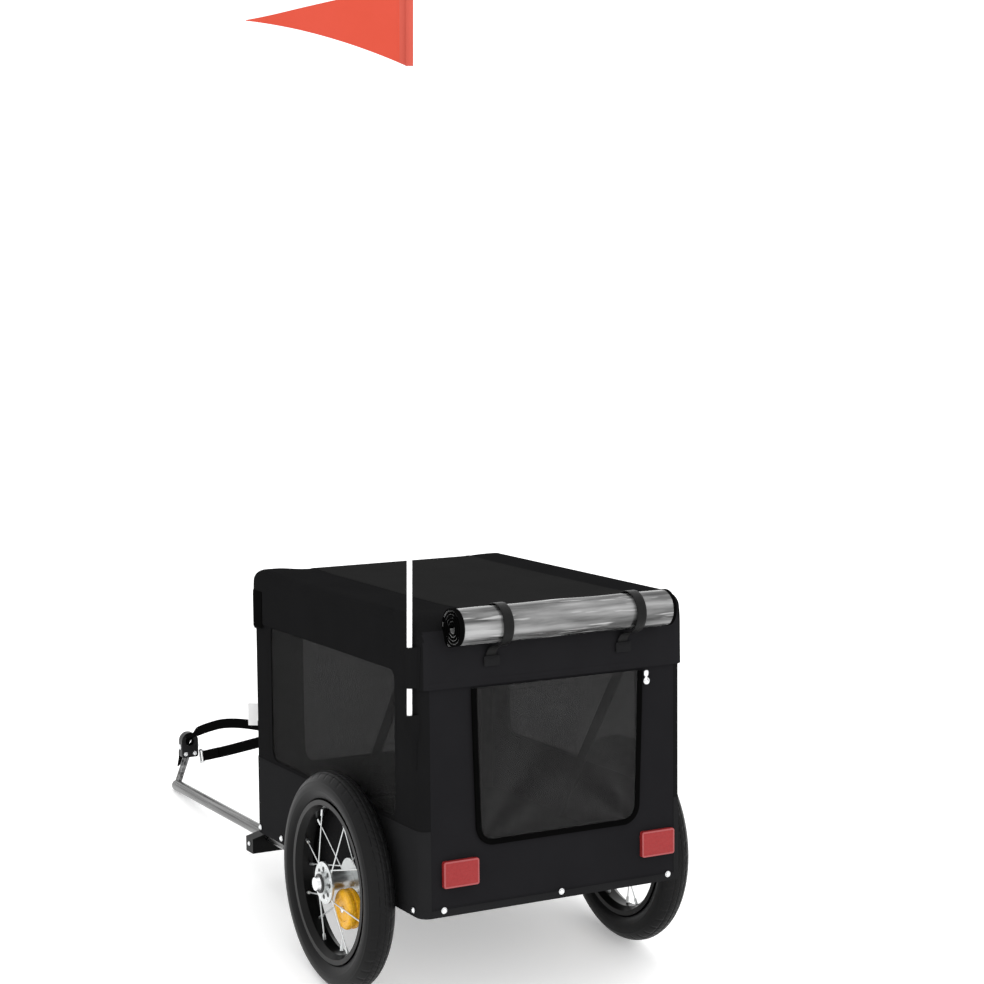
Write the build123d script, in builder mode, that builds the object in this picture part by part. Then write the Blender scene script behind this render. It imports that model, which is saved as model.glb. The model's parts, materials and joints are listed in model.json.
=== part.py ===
from build123d import *
import copy
import math
import os

# Pet bike trailer: a cloth cabin on a tube frame, two spoked wheels, a one-sided drawbar and a flag.
# It is laid out level, X forward, Y to the left and Z up, on the ground under the middle of the cabin.
# Then it is parked: turned nose down about its axle until the drawbar rests on the ground.
# Sizes are in millimetres.

os.makedirs("parts", exist_ok=True)

# ---- cabin ----
body_l = 553.0          # cloth body, outside
body_w = 408.0
floor_z = 141.0         # lower hem of the body
body_h = 399.0          # lower hem to the top of the roof cover
cloth_t = 3.0           # a cloth panel with its hems
corner_r = 14.0         # upright corners of the body
touch = 0.3             # gap between pieces laid on each other
cover_edge_r = 10.0     # long top edges of the roof cover
cover_bend_r = 40.0     # and its top edges at the front and the rear
flap_side = 75.2        # roof cover's flaps, from its top to their hems
flap_rear = 93.5
flap_front = 84.0
wrap_rear = 70.0        # the rear and the front flap reach this far round onto the sides
wrap_front = 36.0

window_l = 420.0        # side windows
window_mid_x = 4.0
window_low_h = 119.0    # lower edge; heights on the body are above its lower hem
window_r = 22.0
window_lap = 8.0        # how far a window goes up behind the cover's hem
mesh_t = 1.6

door_w = 266.0          # rear and front doors
door_y = -4.5           # middle of the rear door
door_low_h = 89.0       # lower edge
door_r = 26.0
door_lap = 9.0          # door over the edge of its doorway
door_t = 3.0
door_gap = 0.6          # door in front of its wall
door_drop = 3.2         # door's hinge edge below the hem over it

# ---- frame ----
rail_w = 22.0           # square base rails
post_d = 18.0           # posts and top tubes
mid_rail_x = 96.0
board_t = 6.0
board_r = 6.0
stay_w = 18.0
stay_t = 3.0
stay_top_in = 42.5      # upper end ahead of the body's rear
stay_foot_x = 34.0

# ---- axle and wheels ----
axle_x = -79.8          # the axle is behind the middle of the cabin
wheel_r = 152.0
tyre_w = 42.0
wheel_gap = 9.5         # tyre to body side
bead_w = 26.0
tyre_h = 38.3           # tread to the rim's lip
rim_w = 33.6
rim_depth = 12.7        # rim's lip to the inner face of its well
rim_seat_w = 16.0
rim_t = 3.0
rim_lip = 7.0
bead_gap = 0.2
spoke_gap = 0.7         # nipple to the rim's well
axle_tube_d = 22.0
stub_d = 12.0
stub_in = 60.0          # stub axle inside the axle tube
bearing_gap = 0.05
seat_gap = 0.3
hub_l = 54.0
hub_d = 26.0
hub_boss_d = 32.0
flange_d = 58.0
flange_t = 3.0
flange_y = 20.0         # flanges either side of the wheel's middle
spokes = 16
spoke_d = 2.0
spoke_ring_d = 48.0
spoke_lean = 34.0       # degrees from hub hole to rim hole
spoke_splay = 4.0       # rim holes either side of the middle
nipple_d = 4.4
nipple_l = 9.0
marker_d = 56.0         # amber wheel reflector
marker_t = 20.0
marker_ring_r = 46.0
marker_angle = 223.0
collar_d = 20.0
cap_d = 22.0
cap_t = 7.0
end_play = 0.5

# ---- drawbar and hitch ----
bar_d = 18.0
bar_in = 76.5           # drawbar's rear end, behind the body's front
bar_out = 386.5         # and its round end, ahead of it
bar_drop = 0.5          # drawbar under the base rails
bar_aside = 4.0         # and its middle inwards from that of the side rail
neck_d = 11.0
neck_rise = 58.5
neck_in = 22.0
shoe_in = 12.5          # clamp block round the drawbar, behind and ahead of the body's front
shoe_out = 13.5
shoe_left = 31.0        # and either side of the drawbar
shoe_right = 36.0
shoe_h = 32.0
shoe_slope_w = 36.0     # its top slopes down to the left over this width, by this much
shoe_slope_h = 9.5
yoke_w = 29.0
yoke_d = 14.0
yoke_t = 4.0
yoke_h = 42.0
block_h = 11.0
ear_h = 12.0
hitch_bore_d = 6.2

strap_w = 18.0          # safety strap
strap_t = 2.2
strap_side = 36.0       # to the right of the drawbar, where it is sewn to the front wall
strap_h = 151.0
tail_h = 144.0
strap_bend = ((190.0, 22.0), (98.0, 44.0))  # bends of its upper run: short of the yoke, below its start
strap_over = (30.0, 14.0)                   # then short of the yoke and over the yoke's opening
strap_through = (14.0, 7.0)                 # past the yoke and under the opening's middle
strap_end = (44.0, 54.0)
strap_radii = (150.0, 120.0, 60.0, 14.0)
ring_side = 39.0        # to the right of the drawbar
ring_h = 41.0
ring_rod = 3.0
ring_l = 16.0

# ---- fittings ----
roll_d = 56.0           # rain cover, rolled up
roll_l = 333.0
roll_y = 1.0
roll_out = 18.2         # its middle behind the cover and below the cover's top
roll_drop = 11.0
band_w = 15.0
band_t = 2.0
band_ys = (97.0, -107.5)
band_drop = 66.0        # their tails' ends below the cover's top

lamp_w = 53.0           # rear reflectors
lamp_h = 36.0
lamp_t = 6.0
lamp_r = 3.0
lamp_mid_h = 57.0
lamp_in = (56.5, 42.5)  # the left one's and the right one's middle, in from the body's side

pole_d = 7.0
pole_in = 12.0          # ahead of the body's rear
pole_foot_h = 259.0
pole_l = 962.0
pole_lean = 1.53        # degrees backwards
sleeve_foot_h = 309.0
sleeve_h = 54.0
pocket_foot_h = 255.0
pocket_h = 18.0
sleeve_t = 2.0
flag_l = 220.0
flag_h = 102.0
flag_t = 1.6
flag_tip = 37.0         # tip below the flag's top corner
flag_bow = 0.45         # where its long edges are bowed, as a share of its length
flag_bow_top = 17.0     # and how far below the top corner they are there
flag_bow_low = 65.0
flag_turn = 45.0        # degrees to the left of straight ahead
flag_drop = 12.0        # flag's top below the pole's
tag_l = 15.0
tag_w = 34.0
tag_t = 1.2
tag_foot_h = 164.0
tag_turn = 60.0

# ---- places that follow from them ----
half_l = body_l / 2
half_w = body_w / 2
roof_z = floor_z + body_h
hem_side_z = roof_z - flap_side
hem_rear_z = roof_z - flap_rear
hem_front_z = roof_z - flap_front
cover_low = min(hem_side_z, hem_rear_z, hem_front_z) - cloth_t
window_z = floor_z + window_low_h
door_z = floor_z + door_low_h
inner_l = half_l - cloth_t
inner_w = half_w - cloth_t
cover_l = half_l + touch + cloth_t
cover_w = half_w + touch + cloth_t
cover_end_r = corner_r + touch + cloth_t
rail_y = inner_w - rail_w / 2
rail_x = inner_l - rail_w / 2
rail_in = rail_y - rail_w / 2
rail_z = floor_z + rail_w / 2
stay_top_x = stay_top_in - half_l
rail_top = floor_z + rail_w
board_top = rail_top + board_t
bend_z = roof_z - cover_bend_r
wall_top = bend_z - touch
post_h = bend_z - rail_top
top_z = roof_z - cloth_t - touch - post_d / 2
bow_r = top_z - bend_z
bow_x = rail_x - bow_r
bow_in = bow_r * (1 - math.sqrt(0.5))
axle_z = rail_z
wheel_y = half_w + wheel_gap + tyre_w / 2
rim_r = wheel_r - tyre_h
rim_seat_r = rim_r - rim_depth
stub_y0 = rail_in - stub_in
stub_y1 = wheel_y + hub_l / 2 + end_play + cap_t
bar_y = rail_y - bar_aside
bar_x0 = half_l - bar_in
bar_x1 = half_l + bar_out
bar_z = floor_z - bar_drop - bar_d / 2
shoe_top = floor_z - touch
yoke_y = bar_y - neck_in
block_z = bar_z + neck_rise
strap_y = bar_y - strap_side
ring_y = bar_y - ring_side
roll_x = -cover_l - roll_out
roll_z = roof_z - roll_drop
band_tail_z = roof_z - band_drop
pole_x = pole_in - half_l
pole_z = floor_z + pole_foot_h
window_top = hem_side_z + window_lap
wall_h = wall_top - floor_z

# The drawbar's round end touches the ground when the trailer has turned by this angle about its axle.
bar_reach = math.hypot(bar_x1 - axle_x, bar_z - axle_z)
bar_slope = math.atan2(bar_z - axle_z, bar_x1 - axle_x)
park_angle = math.degrees(bar_slope + math.asin((wheel_r - bar_d / 2) / bar_reach))

SIDES = ((1, "left"), (-1, "right"))
pieces = []


def keep(builder, name):
    """Labels a finished piece and puts it with the others."""
    builder.part.label = name
    pieces.append(builder.part)


def across(x, y, z):
    """A plane at a point whose normal runs to the left, for what turns or lies across the trailer."""
    return Plane((x, y, z), x_dir=(1, 0, 0), z_dir=(0, 1, 0))


def upright(y):
    """The upright plane at y that shows X to the right and Z up; its normal runs to the right side."""
    return Plane((0, y, 0), x_dir=(1, 0, 0), z_dir=(0, -1, 0))


# ---- base frame ----
for side, word in SIDES:
    outermost = -1 if side > 0 else 0
    with BuildPart() as side_rail:
        with Locations((0, side * rail_y, rail_z)):
            Box(2 * inner_l, rail_w, rail_w)
        fillet(side_rail.edges().filter_by(Axis.Z).group_by(Axis.Y)[outermost], corner_r - cloth_t)
        with Locations(across(axle_x, side * rail_y, axle_z)):
            Cylinder(stub_d / 2 + seat_gap, 2 * rail_w, mode=Mode.SUBTRACT)
    keep(side_rail, f"side_rail_{word}")

for x, word in ((rail_x, "front"), (mid_rail_x, "middle"), (-rail_x, "rear")):
    with BuildPart() as cross_rail:
        with Locations((x, 0, rail_z)):
            Box(rail_w, 2 * rail_in, rail_w)
    keep(cross_rail, f"cross_rail_{word}")

with BuildPart() as axle_tube:
    with Locations(across(axle_x, 0, axle_z)):
        Cylinder(axle_tube_d / 2, 2 * rail_in)
        Cylinder(stub_d / 2 + seat_gap, body_w, mode=Mode.SUBTRACT)
keep(axle_tube, "axle_tube")

with BuildPart() as floor_board:
    with BuildSketch(Plane.XY.offset(rail_top)):
        RectangleRounded(2 * (inner_l - touch), 2 * (rail_in - stay_t - touch), board_r)
    extrude(amount=board_t)
keep(floor_board, "floor_board")

# ---- posts, top tubes and stays ----
for side, word in SIDES:
    with BuildPart() as posts:
        with BuildSketch(Plane.XY.offset(rail_top)):
            with Locations((rail_x, side * rail_y), (-rail_x, side * rail_y)):
                Circle(post_d / 2)
        extrude(amount=post_h)
    keep(posts, f"posts_{word}")

    # The top tube bends down at both ends, round the middle that the bend of the roof cover has.
    with BuildPart() as top_rail:
        with BuildLine(upright(side * rail_y)) as bow:
            CenterArc((-bow_x, bend_z), bow_r, 180, -90)
            Line((-bow_x, top_z), (bow_x, top_z))
            CenterArc((bow_x, bend_z), bow_r, 90, -90)
        with BuildSketch(Plane((-rail_x, side * rail_y, bend_z), z_dir=(0, 0, 1))):
            Circle(post_d / 2)
        sweep(path=bow.wires()[0])
    keep(top_rail, f"top_rail_{word}")

    stay_run = math.hypot(stay_foot_x - stay_top_x, top_z - rail_z)
    stay_tilt = math.degrees(math.atan2(rail_z - top_z, stay_foot_x - stay_top_x))
    with BuildPart() as stay:
        with BuildSketch(upright(side * rail_in)):
            with Locations(((stay_top_x + stay_foot_x) / 2, (top_z + rail_z) / 2)):
                SlotCenterToCenter(stay_run, stay_w, rotation=stay_tilt)
        extrude(amount=stay_t, dir=(0, -side, 0))
        with BuildSketch(upright(side * rail_in)):
            with Locations((stay_top_x, top_z)):
                Circle(stay_w / 4)
        extrude(amount=(rail_w - post_d) / 2, dir=(0, side, 0))
    keep(stay, f"stay_{word}")

for x, word in ((rail_x - bow_in, "front"), (bow_in - rail_x, "rear")):
    with BuildPart() as top_bar:
        with Locations(across(x, 0, top_z - bow_in)):
            Cylinder(post_d / 2, 2 * (rail_y - post_d / 2))
    keep(top_bar, f"top_bar_{word}")

# ---- cloth walls and their mesh windows ----
for side, word in SIDES:
    with BuildPart() as side_wall:
        with BuildSketch(Plane.XY.offset(floor_z)):
            RectangleRounded(body_l, body_w, corner_r)
            RectangleRounded(2 * inner_l, 2 * inner_w, corner_r - cloth_t, mode=Mode.SUBTRACT)
        extrude(amount=wall_h)
        with Locations((0, side * (half_w - corner_r / 2), floor_z + wall_h / 2)):
            Box(body_l, corner_r, wall_h, mode=Mode.INTERSECT)
        with BuildSketch(upright(side * half_w)):
            with Locations((window_mid_x, (window_z + window_top) / 2)):
                RectangleRounded(window_l, window_top - window_z, window_r)
        extrude(amount=cloth_t, dir=(0, -side, 0), mode=Mode.SUBTRACT)
        with Locations(across(axle_x, side * half_w, axle_z)):
            Cylinder(collar_d / 2 + touch, 4 * cloth_t, mode=Mode.SUBTRACT)
    keep(side_wall, f"wall_{word}")

    with BuildPart() as window:
        with BuildSketch(upright(side * (half_w - (cloth_t - mesh_t) / 2))):
            with Locations((window_mid_x, (window_z + window_top) / 2)):
                RectangleRounded(window_l, window_top - window_z, window_r)
        extrude(amount=mesh_t, dir=(0, -side, 0))
    keep(window, f"window_{word}")

# ---- end walls and the doors in them; each door turns about its rounded upper edge ----
ENDS = ((-1, "rear", door_y, hem_rear_z - door_drop), (1, "front", 0.0, hem_front_z - door_drop))
for end, word, y, door_top in ENDS:
    with BuildPart() as end_wall:
        with BuildSketch(Plane.XY.offset(floor_z)):
            with Locations((end * (half_l - cloth_t / 2), 0)):
                Rectangle(cloth_t, 2 * (half_w - corner_r))
        extrude(amount=wall_h)
        with BuildSketch(Plane((end * half_l, y, 0), x_dir=(0, 1, 0), z_dir=(1, 0, 0))):
            with Locations((0, (door_z + door_top) / 2)):
                RectangleRounded(door_w - 2 * door_lap, door_top - door_z - 2 * door_lap, door_r - door_lap)
        extrude(amount=2 * cloth_t, both=True, mode=Mode.SUBTRACT)
    keep(end_wall, f"wall_{word}")

    with BuildPart() as door:
        with BuildSketch(Plane((end * (half_l + door_gap), y, 0), x_dir=(0, 1, 0), z_dir=(1, 0, 0))):
            with Locations((0, (door_z + door_top) / 2)):
                Rectangle(door_w, door_top - door_z)
        extrude(amount=door_t, dir=(end, 0, 0))
        fillet(door.edges().filter_by(Axis.X).group_by(Axis.Z)[0], door_r)
        fillet(door.edges().filter_by(Axis.Y).group_by(Axis.Z)[-1], door_t / 2 - bearing_gap)
    keep(door, f"door_{word}")


# ---- roof cover ----
def cover_form(inset):
    """The roof cover's solid outer form, drawn in by inset: rounded from behind, from the side and in plan."""
    high = roof_z - inset
    middle = (0, (high + cover_low) / 2)
    with BuildPart() as form:
        with BuildSketch(Plane((cover_l, 0, 0), x_dir=(0, 1, 0), z_dir=(1, 0, 0))) as arch:
            with Locations(middle):
                Rectangle(2 * (cover_w - inset), high - cover_low)
            fillet(arch.vertices().group_by(Axis.Y)[-1], cover_edge_r - inset)
        extrude(amount=-2 * cover_l)
        with BuildSketch(upright(cover_w)) as bow:
            with Locations(middle):
                Rectangle(2 * (cover_l - inset), high - cover_low)
            fillet(bow.vertices().group_by(Axis.Y)[-1], cover_bend_r - inset)
        extrude(amount=2 * cover_w, mode=Mode.INTERSECT)
        with BuildSketch(Plane.XY.offset(cover_low)):
            RectangleRounded(2 * (cover_l - inset), 2 * (cover_w - inset), cover_end_r - inset)
        extrude(amount=high - cover_low, mode=Mode.INTERSECT)
    return form.part


HEMS = (
    ((wrap_rear - wrap_front) / 2, cover_l - (wrap_rear + wrap_front) / 2, hem_side_z),
    (-cover_l, wrap_rear, hem_rear_z),
    (cover_l, wrap_front, hem_front_z),
)
with BuildPart() as roof_cover:
    add(cover_form(0))
    add(cover_form(cloth_t), mode=Mode.SUBTRACT)
    for x, reach, hem in HEMS:
        with Locations((x, 0, (hem + cover_low) / 2)):
            Box(2 * reach, body_l, hem - cover_low, mode=Mode.SUBTRACT)
keep(roof_cover, "roof_cover")

# ---- rolled rain cover and the straps that hold it ----
with BuildPart() as roll:
    with Locations(across(roll_x, roll_y, roll_z)):
        Cylinder(roll_d / 2, roll_l)
    add(cover_form(0), mode=Mode.SUBTRACT)
keep(roll, "rain_cover_roll")

with BuildPart() as bands:
    for band_y in band_ys:
        with BuildSketch(across(roll_x, band_y - band_w / 2, roll_z)):
            Circle(roll_d / 2 + band_t)
            Circle(roll_d / 2, mode=Mode.SUBTRACT)
        extrude(amount=band_w)
        with Locations((-cover_l - band_t / 2, band_y, (band_tail_z + roll_z - roll_d / 3) / 2)):
            Box(band_t, band_w, roll_z - roll_d / 3 - band_tail_z)
    add(cover_form(0), mode=Mode.SUBTRACT)
    with Locations(across(roll_x, roll_y, roll_z)):
        Cylinder(roll_d / 2, roll_l, mode=Mode.SUBTRACT)
keep(bands, "roll_straps")

# ---- red reflectors ----
for (side, word), inset in zip(SIDES, lamp_in):
    lamp_place = (-half_l, side * (half_w - inset), floor_z + lamp_mid_h)
    with BuildPart() as lamp:
        with BuildSketch(Plane(lamp_place, x_dir=(0, 1, 0), z_dir=(-1, 0, 0))):
            RectangleRounded(lamp_w, lamp_h, lamp_r)
        extrude(amount=lamp_t)
        fillet(lamp.faces().sort_by(Axis.X)[0].edges(), lamp_t / 4)
    keep(lamp, f"reflector_{word}")

# ---- wheels on their stub axles ----
for side, word in SIDES:
    with BuildPart() as stub:
        with BuildSketch(Plane((axle_x, 0, axle_z), x_dir=(1, 0, 0), z_dir=(0, 0, 1))):
            with BuildLine():
                Polyline(
                    (0, side * stub_y0),
                    (stub_d / 2, side * stub_y0),
                    (stub_d / 2, side * inner_w),
                    (collar_d / 2, side * inner_w),
                    (collar_d / 2, side * (wheel_y - hub_l / 2 - end_play)),
                    (stub_d / 2, side * (wheel_y - hub_l / 2 - end_play)),
                    (stub_d / 2, side * (stub_y1 - cap_t)),
                    (cap_d / 2, side * (stub_y1 - cap_t)),
                    (cap_d / 2 - cap_t / 4, side * stub_y1),
                    (0, side * stub_y1),
                    close=True,
                )
            make_face()
        revolve(axis=Axis((axle_x, 0, axle_z), (0, 1, 0)))
    keep(stub, f"stub_axle_{word}")

    middle = Plane((axle_x, side * wheel_y, axle_z), x_dir=(1, 0, 0), z_dir=(0, 0, 1))
    turn = Axis((axle_x, side * wheel_y, axle_z), (0, 1, 0))
    bead_r = rim_r - rim_lip + bead_gap
    with BuildPart() as tyre:
        with BuildSketch(middle):
            with Locations((wheel_r - tyre_w / 2, 0)):
                Circle(tyre_w / 2)
            with Locations(((bead_r + wheel_r - tyre_w / 2) / 2, 0)):
                Rectangle(wheel_r - tyre_w / 2 - bead_r, bead_w)
        revolve(axis=turn)
    keep(tyre, f"tyre_{word}")

    with BuildPart() as rim:
        with BuildSketch(middle):
            with BuildLine():
                Polyline(
                    (rim_r, -rim_w / 2),
                    (rim_r - rim_lip, -rim_w / 2),
                    (rim_seat_r, -rim_seat_w / 2),
                    (rim_seat_r, rim_seat_w / 2),
                    (rim_r - rim_lip, rim_w / 2),
                    (rim_r, rim_w / 2),
                    (rim_r, rim_w / 2 - rim_t),
                    (rim_r - rim_lip, rim_w / 2 - rim_t),
                    (rim_seat_r + rim_t, rim_seat_w / 2 - rim_t / 2),
                    (rim_seat_r + rim_t, rim_t / 2 - rim_seat_w / 2),
                    (rim_r - rim_lip, rim_t - rim_w / 2),
                    (rim_r, rim_t - rim_w / 2),
                    close=True,
                )
            make_face()
        revolve(axis=turn)
    keep(rim, f"rim_{word}")

    # Spokes run from the two flanges in turn to the rim's well, every second one leaning the other way.
    spoke_planes = []
    for n in range(spokes):
        rim_angle = math.radians(360 * n / spokes)
        lean = spoke_lean if n % 4 < 2 else -spoke_lean
        hub_angle = rim_angle + math.radians(lean)
        flange_side = 1 if n % 2 else -1
        foot = Vector(
            axle_x + spoke_ring_d / 2 * math.cos(hub_angle),
            side * wheel_y + flange_side * flange_y,
            axle_z + spoke_ring_d / 2 * math.sin(hub_angle),
        )
        head = Vector(
            axle_x + (rim_seat_r - spoke_gap) * math.cos(rim_angle),
            side * wheel_y + flange_side * spoke_splay,
            axle_z + (rim_seat_r - spoke_gap) * math.sin(rim_angle),
        )
        spoke_planes.append((Plane(foot, z_dir=head - foot), (head - foot).length))

    with BuildPart() as hub:
        with Locations(across(axle_x, side * wheel_y, axle_z)):
            Cylinder(hub_d / 2, 2 * flange_y)
            Cylinder(hub_boss_d / 2, hub_l)
            Cylinder(hub_boss_d / 2, hub_l - 2 * (hub_l / 2 - flange_y), mode=Mode.SUBTRACT)
            Cylinder(hub_d / 2, 2 * flange_y)
        with Locations(
            across(axle_x, side * wheel_y + flange_y, axle_z),
            across(axle_x, side * wheel_y - flange_y, axle_z),
        ):
            Cylinder(flange_d / 2, flange_t)
        for plane, run in spoke_planes:
            with Locations(plane):
                Cylinder(spoke_d / 2, run, align=(Align.CENTER, Align.CENTER, Align.MIN))
            with Locations(plane.offset(run - nipple_l)):
                Cylinder(nipple_d / 2, nipple_l, align=(Align.CENTER, Align.CENTER, Align.MIN))
        with Locations(across(axle_x, side * wheel_y, axle_z)):
            Cylinder(stub_d / 2 + bearing_gap, 2 * hub_l, mode=Mode.SUBTRACT)
    keep(hub, f"hub_{word}")

    marker_place = across(
        axle_x + marker_ring_r * math.cos(math.radians(marker_angle)),
        side * wheel_y,
        axle_z + marker_ring_r * math.sin(math.radians(marker_angle)),
    )
    with BuildPart() as marker:
        with Locations(marker_place):
            Cylinder(marker_d / 2, marker_t)
        chamfer(marker.edges().filter_by(GeomType.CIRCLE), marker_t / 5)
        for plane, run in spoke_planes:
            with Locations(plane):
                Cylinder(
                    spoke_d / 2 + seat_gap,
                    run,
                    align=(Align.CENTER, Align.CENTER, Align.MIN),
                    mode=Mode.SUBTRACT,
                )
    keep(marker, f"wheel_reflector_{word}")

# ---- drawbar, the shoe under it and the hitch yoke ----
neck_foot = Vector(bar_x1, bar_y, bar_z)
neck_head = Vector(bar_x1, yoke_y, block_z)
with BuildPart() as drawbar:
    with Locations(Plane((bar_x0, bar_y, bar_z), z_dir=(1, 0, 0))):
        Cylinder(bar_d / 2, bar_x1 - bar_x0, align=(Align.CENTER, Align.CENTER, Align.MIN))
    with Locations(neck_foot):
        Sphere(bar_d / 2)
    with Locations(Plane(neck_foot, z_dir=neck_head - neck_foot)):
        Cylinder(
            neck_d / 2,
            (neck_head - neck_foot).length + neck_d / 2,
            align=(Align.CENTER, Align.CENTER, Align.MIN),
        )
    with Locations((bar_x1, yoke_y, block_z + neck_d)):
        Box(4 * neck_d, 4 * neck_d, 2 * neck_d, mode=Mode.SUBTRACT)
keep(drawbar, "drawbar")

with BuildPart() as shoe:
    with BuildSketch(Plane((half_l - shoe_in, bar_y, shoe_top), x_dir=(0, 1, 0), z_dir=(1, 0, 0))):
        with BuildLine():
            Polyline(
                (-shoe_right, -shoe_h),
                (shoe_left, -shoe_h),
                (shoe_left, -shoe_slope_h),
                (shoe_left - shoe_slope_w, 0),
                (-shoe_right, 0),
                close=True,
            )
        make_face()
    extrude(amount=shoe_in + shoe_out)
    with Locations(Plane((bar_x0, bar_y, bar_z), z_dir=(1, 0, 0))):
        Cylinder(bar_d / 2 + seat_gap, 2 * bar_out, mode=Mode.SUBTRACT)
keep(shoe, "drawbar_shoe")

with BuildPart() as yoke:
    with BuildSketch(Plane((bar_x1 - yoke_d / 2, yoke_y, 0), x_dir=(0, 1, 0), z_dir=(1, 0, 0))) as yoke_face:
        with Locations((0, block_z - ear_h + yoke_h / 2)):
            Rectangle(yoke_w, yoke_h)
        fillet(yoke_face.vertices().group_by(Axis.Y)[-1], yoke_w / 3)
        with Locations((0, block_z - ear_h / 2)):
            Rectangle(yoke_w - 2 * yoke_t, ear_h, mode=Mode.SUBTRACT)
        arch_h = yoke_h - ear_h - block_h - yoke_t
        with Locations((0, block_z + block_h + arch_h / 2)):
            RectangleRounded(yoke_w - 2 * yoke_t, arch_h, yoke_t, mode=Mode.SUBTRACT)
    extrude(amount=yoke_d)
    with Locations(across(bar_x1, yoke_y, block_z + block_h / 2)):
        Cylinder(hitch_bore_d / 2, 2 * yoke_w, mode=Mode.SUBTRACT)
keep(yoke, "hitch_yoke")

# ---- safety strap: one run arches over and through the yoke, the other ends in a ring against it ----
def strap_run(plane, route, bends, section):
    """A strap swept along a route that lies in an upright plane, its section across the plane and in it."""
    with BuildPart() as run:
        with BuildLine(plane) as line:
            if bends:
                FilletPolyline(*route, radius=bends)
            else:
                Polyline(*route)
        with BuildSketch(Plane(line.line @ 0, x_dir=plane.z_dir, z_dir=line.line % 0)):
            Rectangle(*section)
        sweep(path=line.line)
    return run.part


def upright_along(start, end):
    """The upright plane through start that holds the level run to end, X along the run and Y up."""
    run = Vector(end[0] - start[0], end[1] - start[1], 0)
    return Plane((start[0], start[1], 0), x_dir=run, z_dir=run.cross(Vector(0, 0, 1)))


run_l = math.hypot(bar_x1 - half_l, yoke_y - strap_y)
opening_z = block_z + block_h + arch_h / 2
strap_z = floor_z + strap_h
strap_route = (
    (2 * touch, strap_z),
    *((run_l - short, strap_z - fall) for short, fall in strap_bend),
    (run_l - strap_over[0], opening_z + strap_over[1]),
    (run_l + strap_through[0], opening_z - strap_through[1]),
    (run_l + strap_end[0], opening_z - strap_end[1]),
)
tail_l = bar_x1 - yoke_d / 2 - half_l - ring_l - 3 * touch
ring_z = floor_z + ring_h
tail_route = ((strap_w / 6, floor_z + tail_h), (tail_l, ring_z))
with BuildPart() as strap:
    add(strap_run(upright_along((half_l, strap_y), (bar_x1, yoke_y)), strap_route, strap_radii, (strap_w, strap_t)))
    add(strap_run(upright_along((half_l, strap_y), (half_l + tail_l, ring_y)), tail_route, (), (strap_t, strap_w)))
keep(strap, "safety_strap")

tail_end = Vector(half_l + tail_l, ring_y, ring_z)
tail_way = (tail_end - Vector(half_l, strap_y, floor_z + tail_h)).normalized()
ring_face = Plane(tail_end + tail_way * (2 * touch), x_dir=tail_way, z_dir=tail_way.cross(Vector(0, 0, 1)))
with BuildPart() as ring:
    with BuildSketch(ring_face.offset(-ring_rod / 2)):
        with Locations((ring_l / 2, 0)):
            RectangleRounded(ring_l, strap_w + 2 * ring_rod, ring_rod)
            RectangleRounded(ring_l - 2 * ring_rod, strap_w, ring_rod / 3, mode=Mode.SUBTRACT)
    extrude(amount=ring_rod)
    fillet(ring.edges(), ring_rod / 6)
keep(ring, "strap_ring")

# ---- flag pole, its sleeves and the flag ----
lean = math.radians(pole_lean)
pole_y = cover_w + touch + sleeve_t + pole_d / 2
pole_up = Vector(-math.sin(lean), 0, math.cos(lean))
pole_foot = Vector(pole_x, pole_y, pole_z)


def on_pole(height):
    """The plane across the pole at a height above the ground, level trailer."""
    return Plane(pole_foot + pole_up * ((height - pole_z) / math.cos(lean)), x_dir=(0, 1, 0), z_dir=pole_up)


with BuildPart() as pole:
    with Locations(on_pole(pole_z)):
        Cylinder(pole_d / 2, pole_l, align=(Align.CENTER, Align.CENTER, Align.MIN))
    fillet(pole.edges().filter_by(GeomType.CIRCLE), pole_d / 4)
keep(pole, "flag_pole")

sleeve_r = pole_d / 2 + seat_gap + sleeve_t
SLEEVES = (
    (sleeve_foot_h, sleeve_h, cover_w, "pole_sleeve"),
    (pocket_foot_h, pocket_h, half_w, "pole_pocket"),
)
for foot_h, height, wall_y, name in SLEEVES:
    z = floor_z + foot_h
    with BuildPart() as sleeve:
        with Locations(on_pole(z)):
            Cylinder(sleeve_r, height, align=(Align.CENTER, Align.CENTER, Align.MIN))
        with Locations((pole_x, (wall_y + pole_y) / 2, z + height / 2)):
            Box(2 * sleeve_r, pole_y - wall_y, height)
        with Locations((pole_x, wall_y - body_w / 2, z + height / 2)):
            Box(body_w, body_w, 2 * height, mode=Mode.SUBTRACT)
        with Locations(on_pole(pole_z)):
            Cylinder(
                pole_d / 2 + seat_gap,
                pole_l,
                align=(Align.CENTER, Align.CENTER, Align.MIN),
                mode=Mode.SUBTRACT,
            )
    keep(sleeve, name)

flag_out = Vector(math.cos(math.radians(flag_turn)), math.sin(math.radians(flag_turn)), 0)
flag_top = pole_foot + pole_up * (pole_l - flag_drop)
flag_face = Plane(flag_top, x_dir=flag_out, z_dir=flag_out.cross(pole_up))
with BuildPart() as flag:
    with BuildSketch(flag_face.offset(-flag_t / 2)):
        with BuildLine():
            Line((0, 0), (0, -flag_h))
            Spline((0, -flag_h), (flag_l * flag_bow, -flag_bow_low), (flag_l, -flag_tip))
            Spline((flag_l, -flag_tip), (flag_l * flag_bow, -flag_bow_top), (0, 0))
        make_face()
    extrude(amount=flag_t)
    with Locations(Plane(flag_top - pole_up * flag_h, z_dir=pole_up)):
        Cylinder(pole_d / 2 + seat_gap + flag_t, flag_h, align=(Align.CENTER, Align.CENTER, Align.MIN))
        Cylinder(
            pole_d / 2 + seat_gap,
            flag_h,
            align=(Align.CENTER, Align.CENTER, Align.MIN),
            mode=Mode.SUBTRACT,
        )
keep(flag, "flag")

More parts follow.
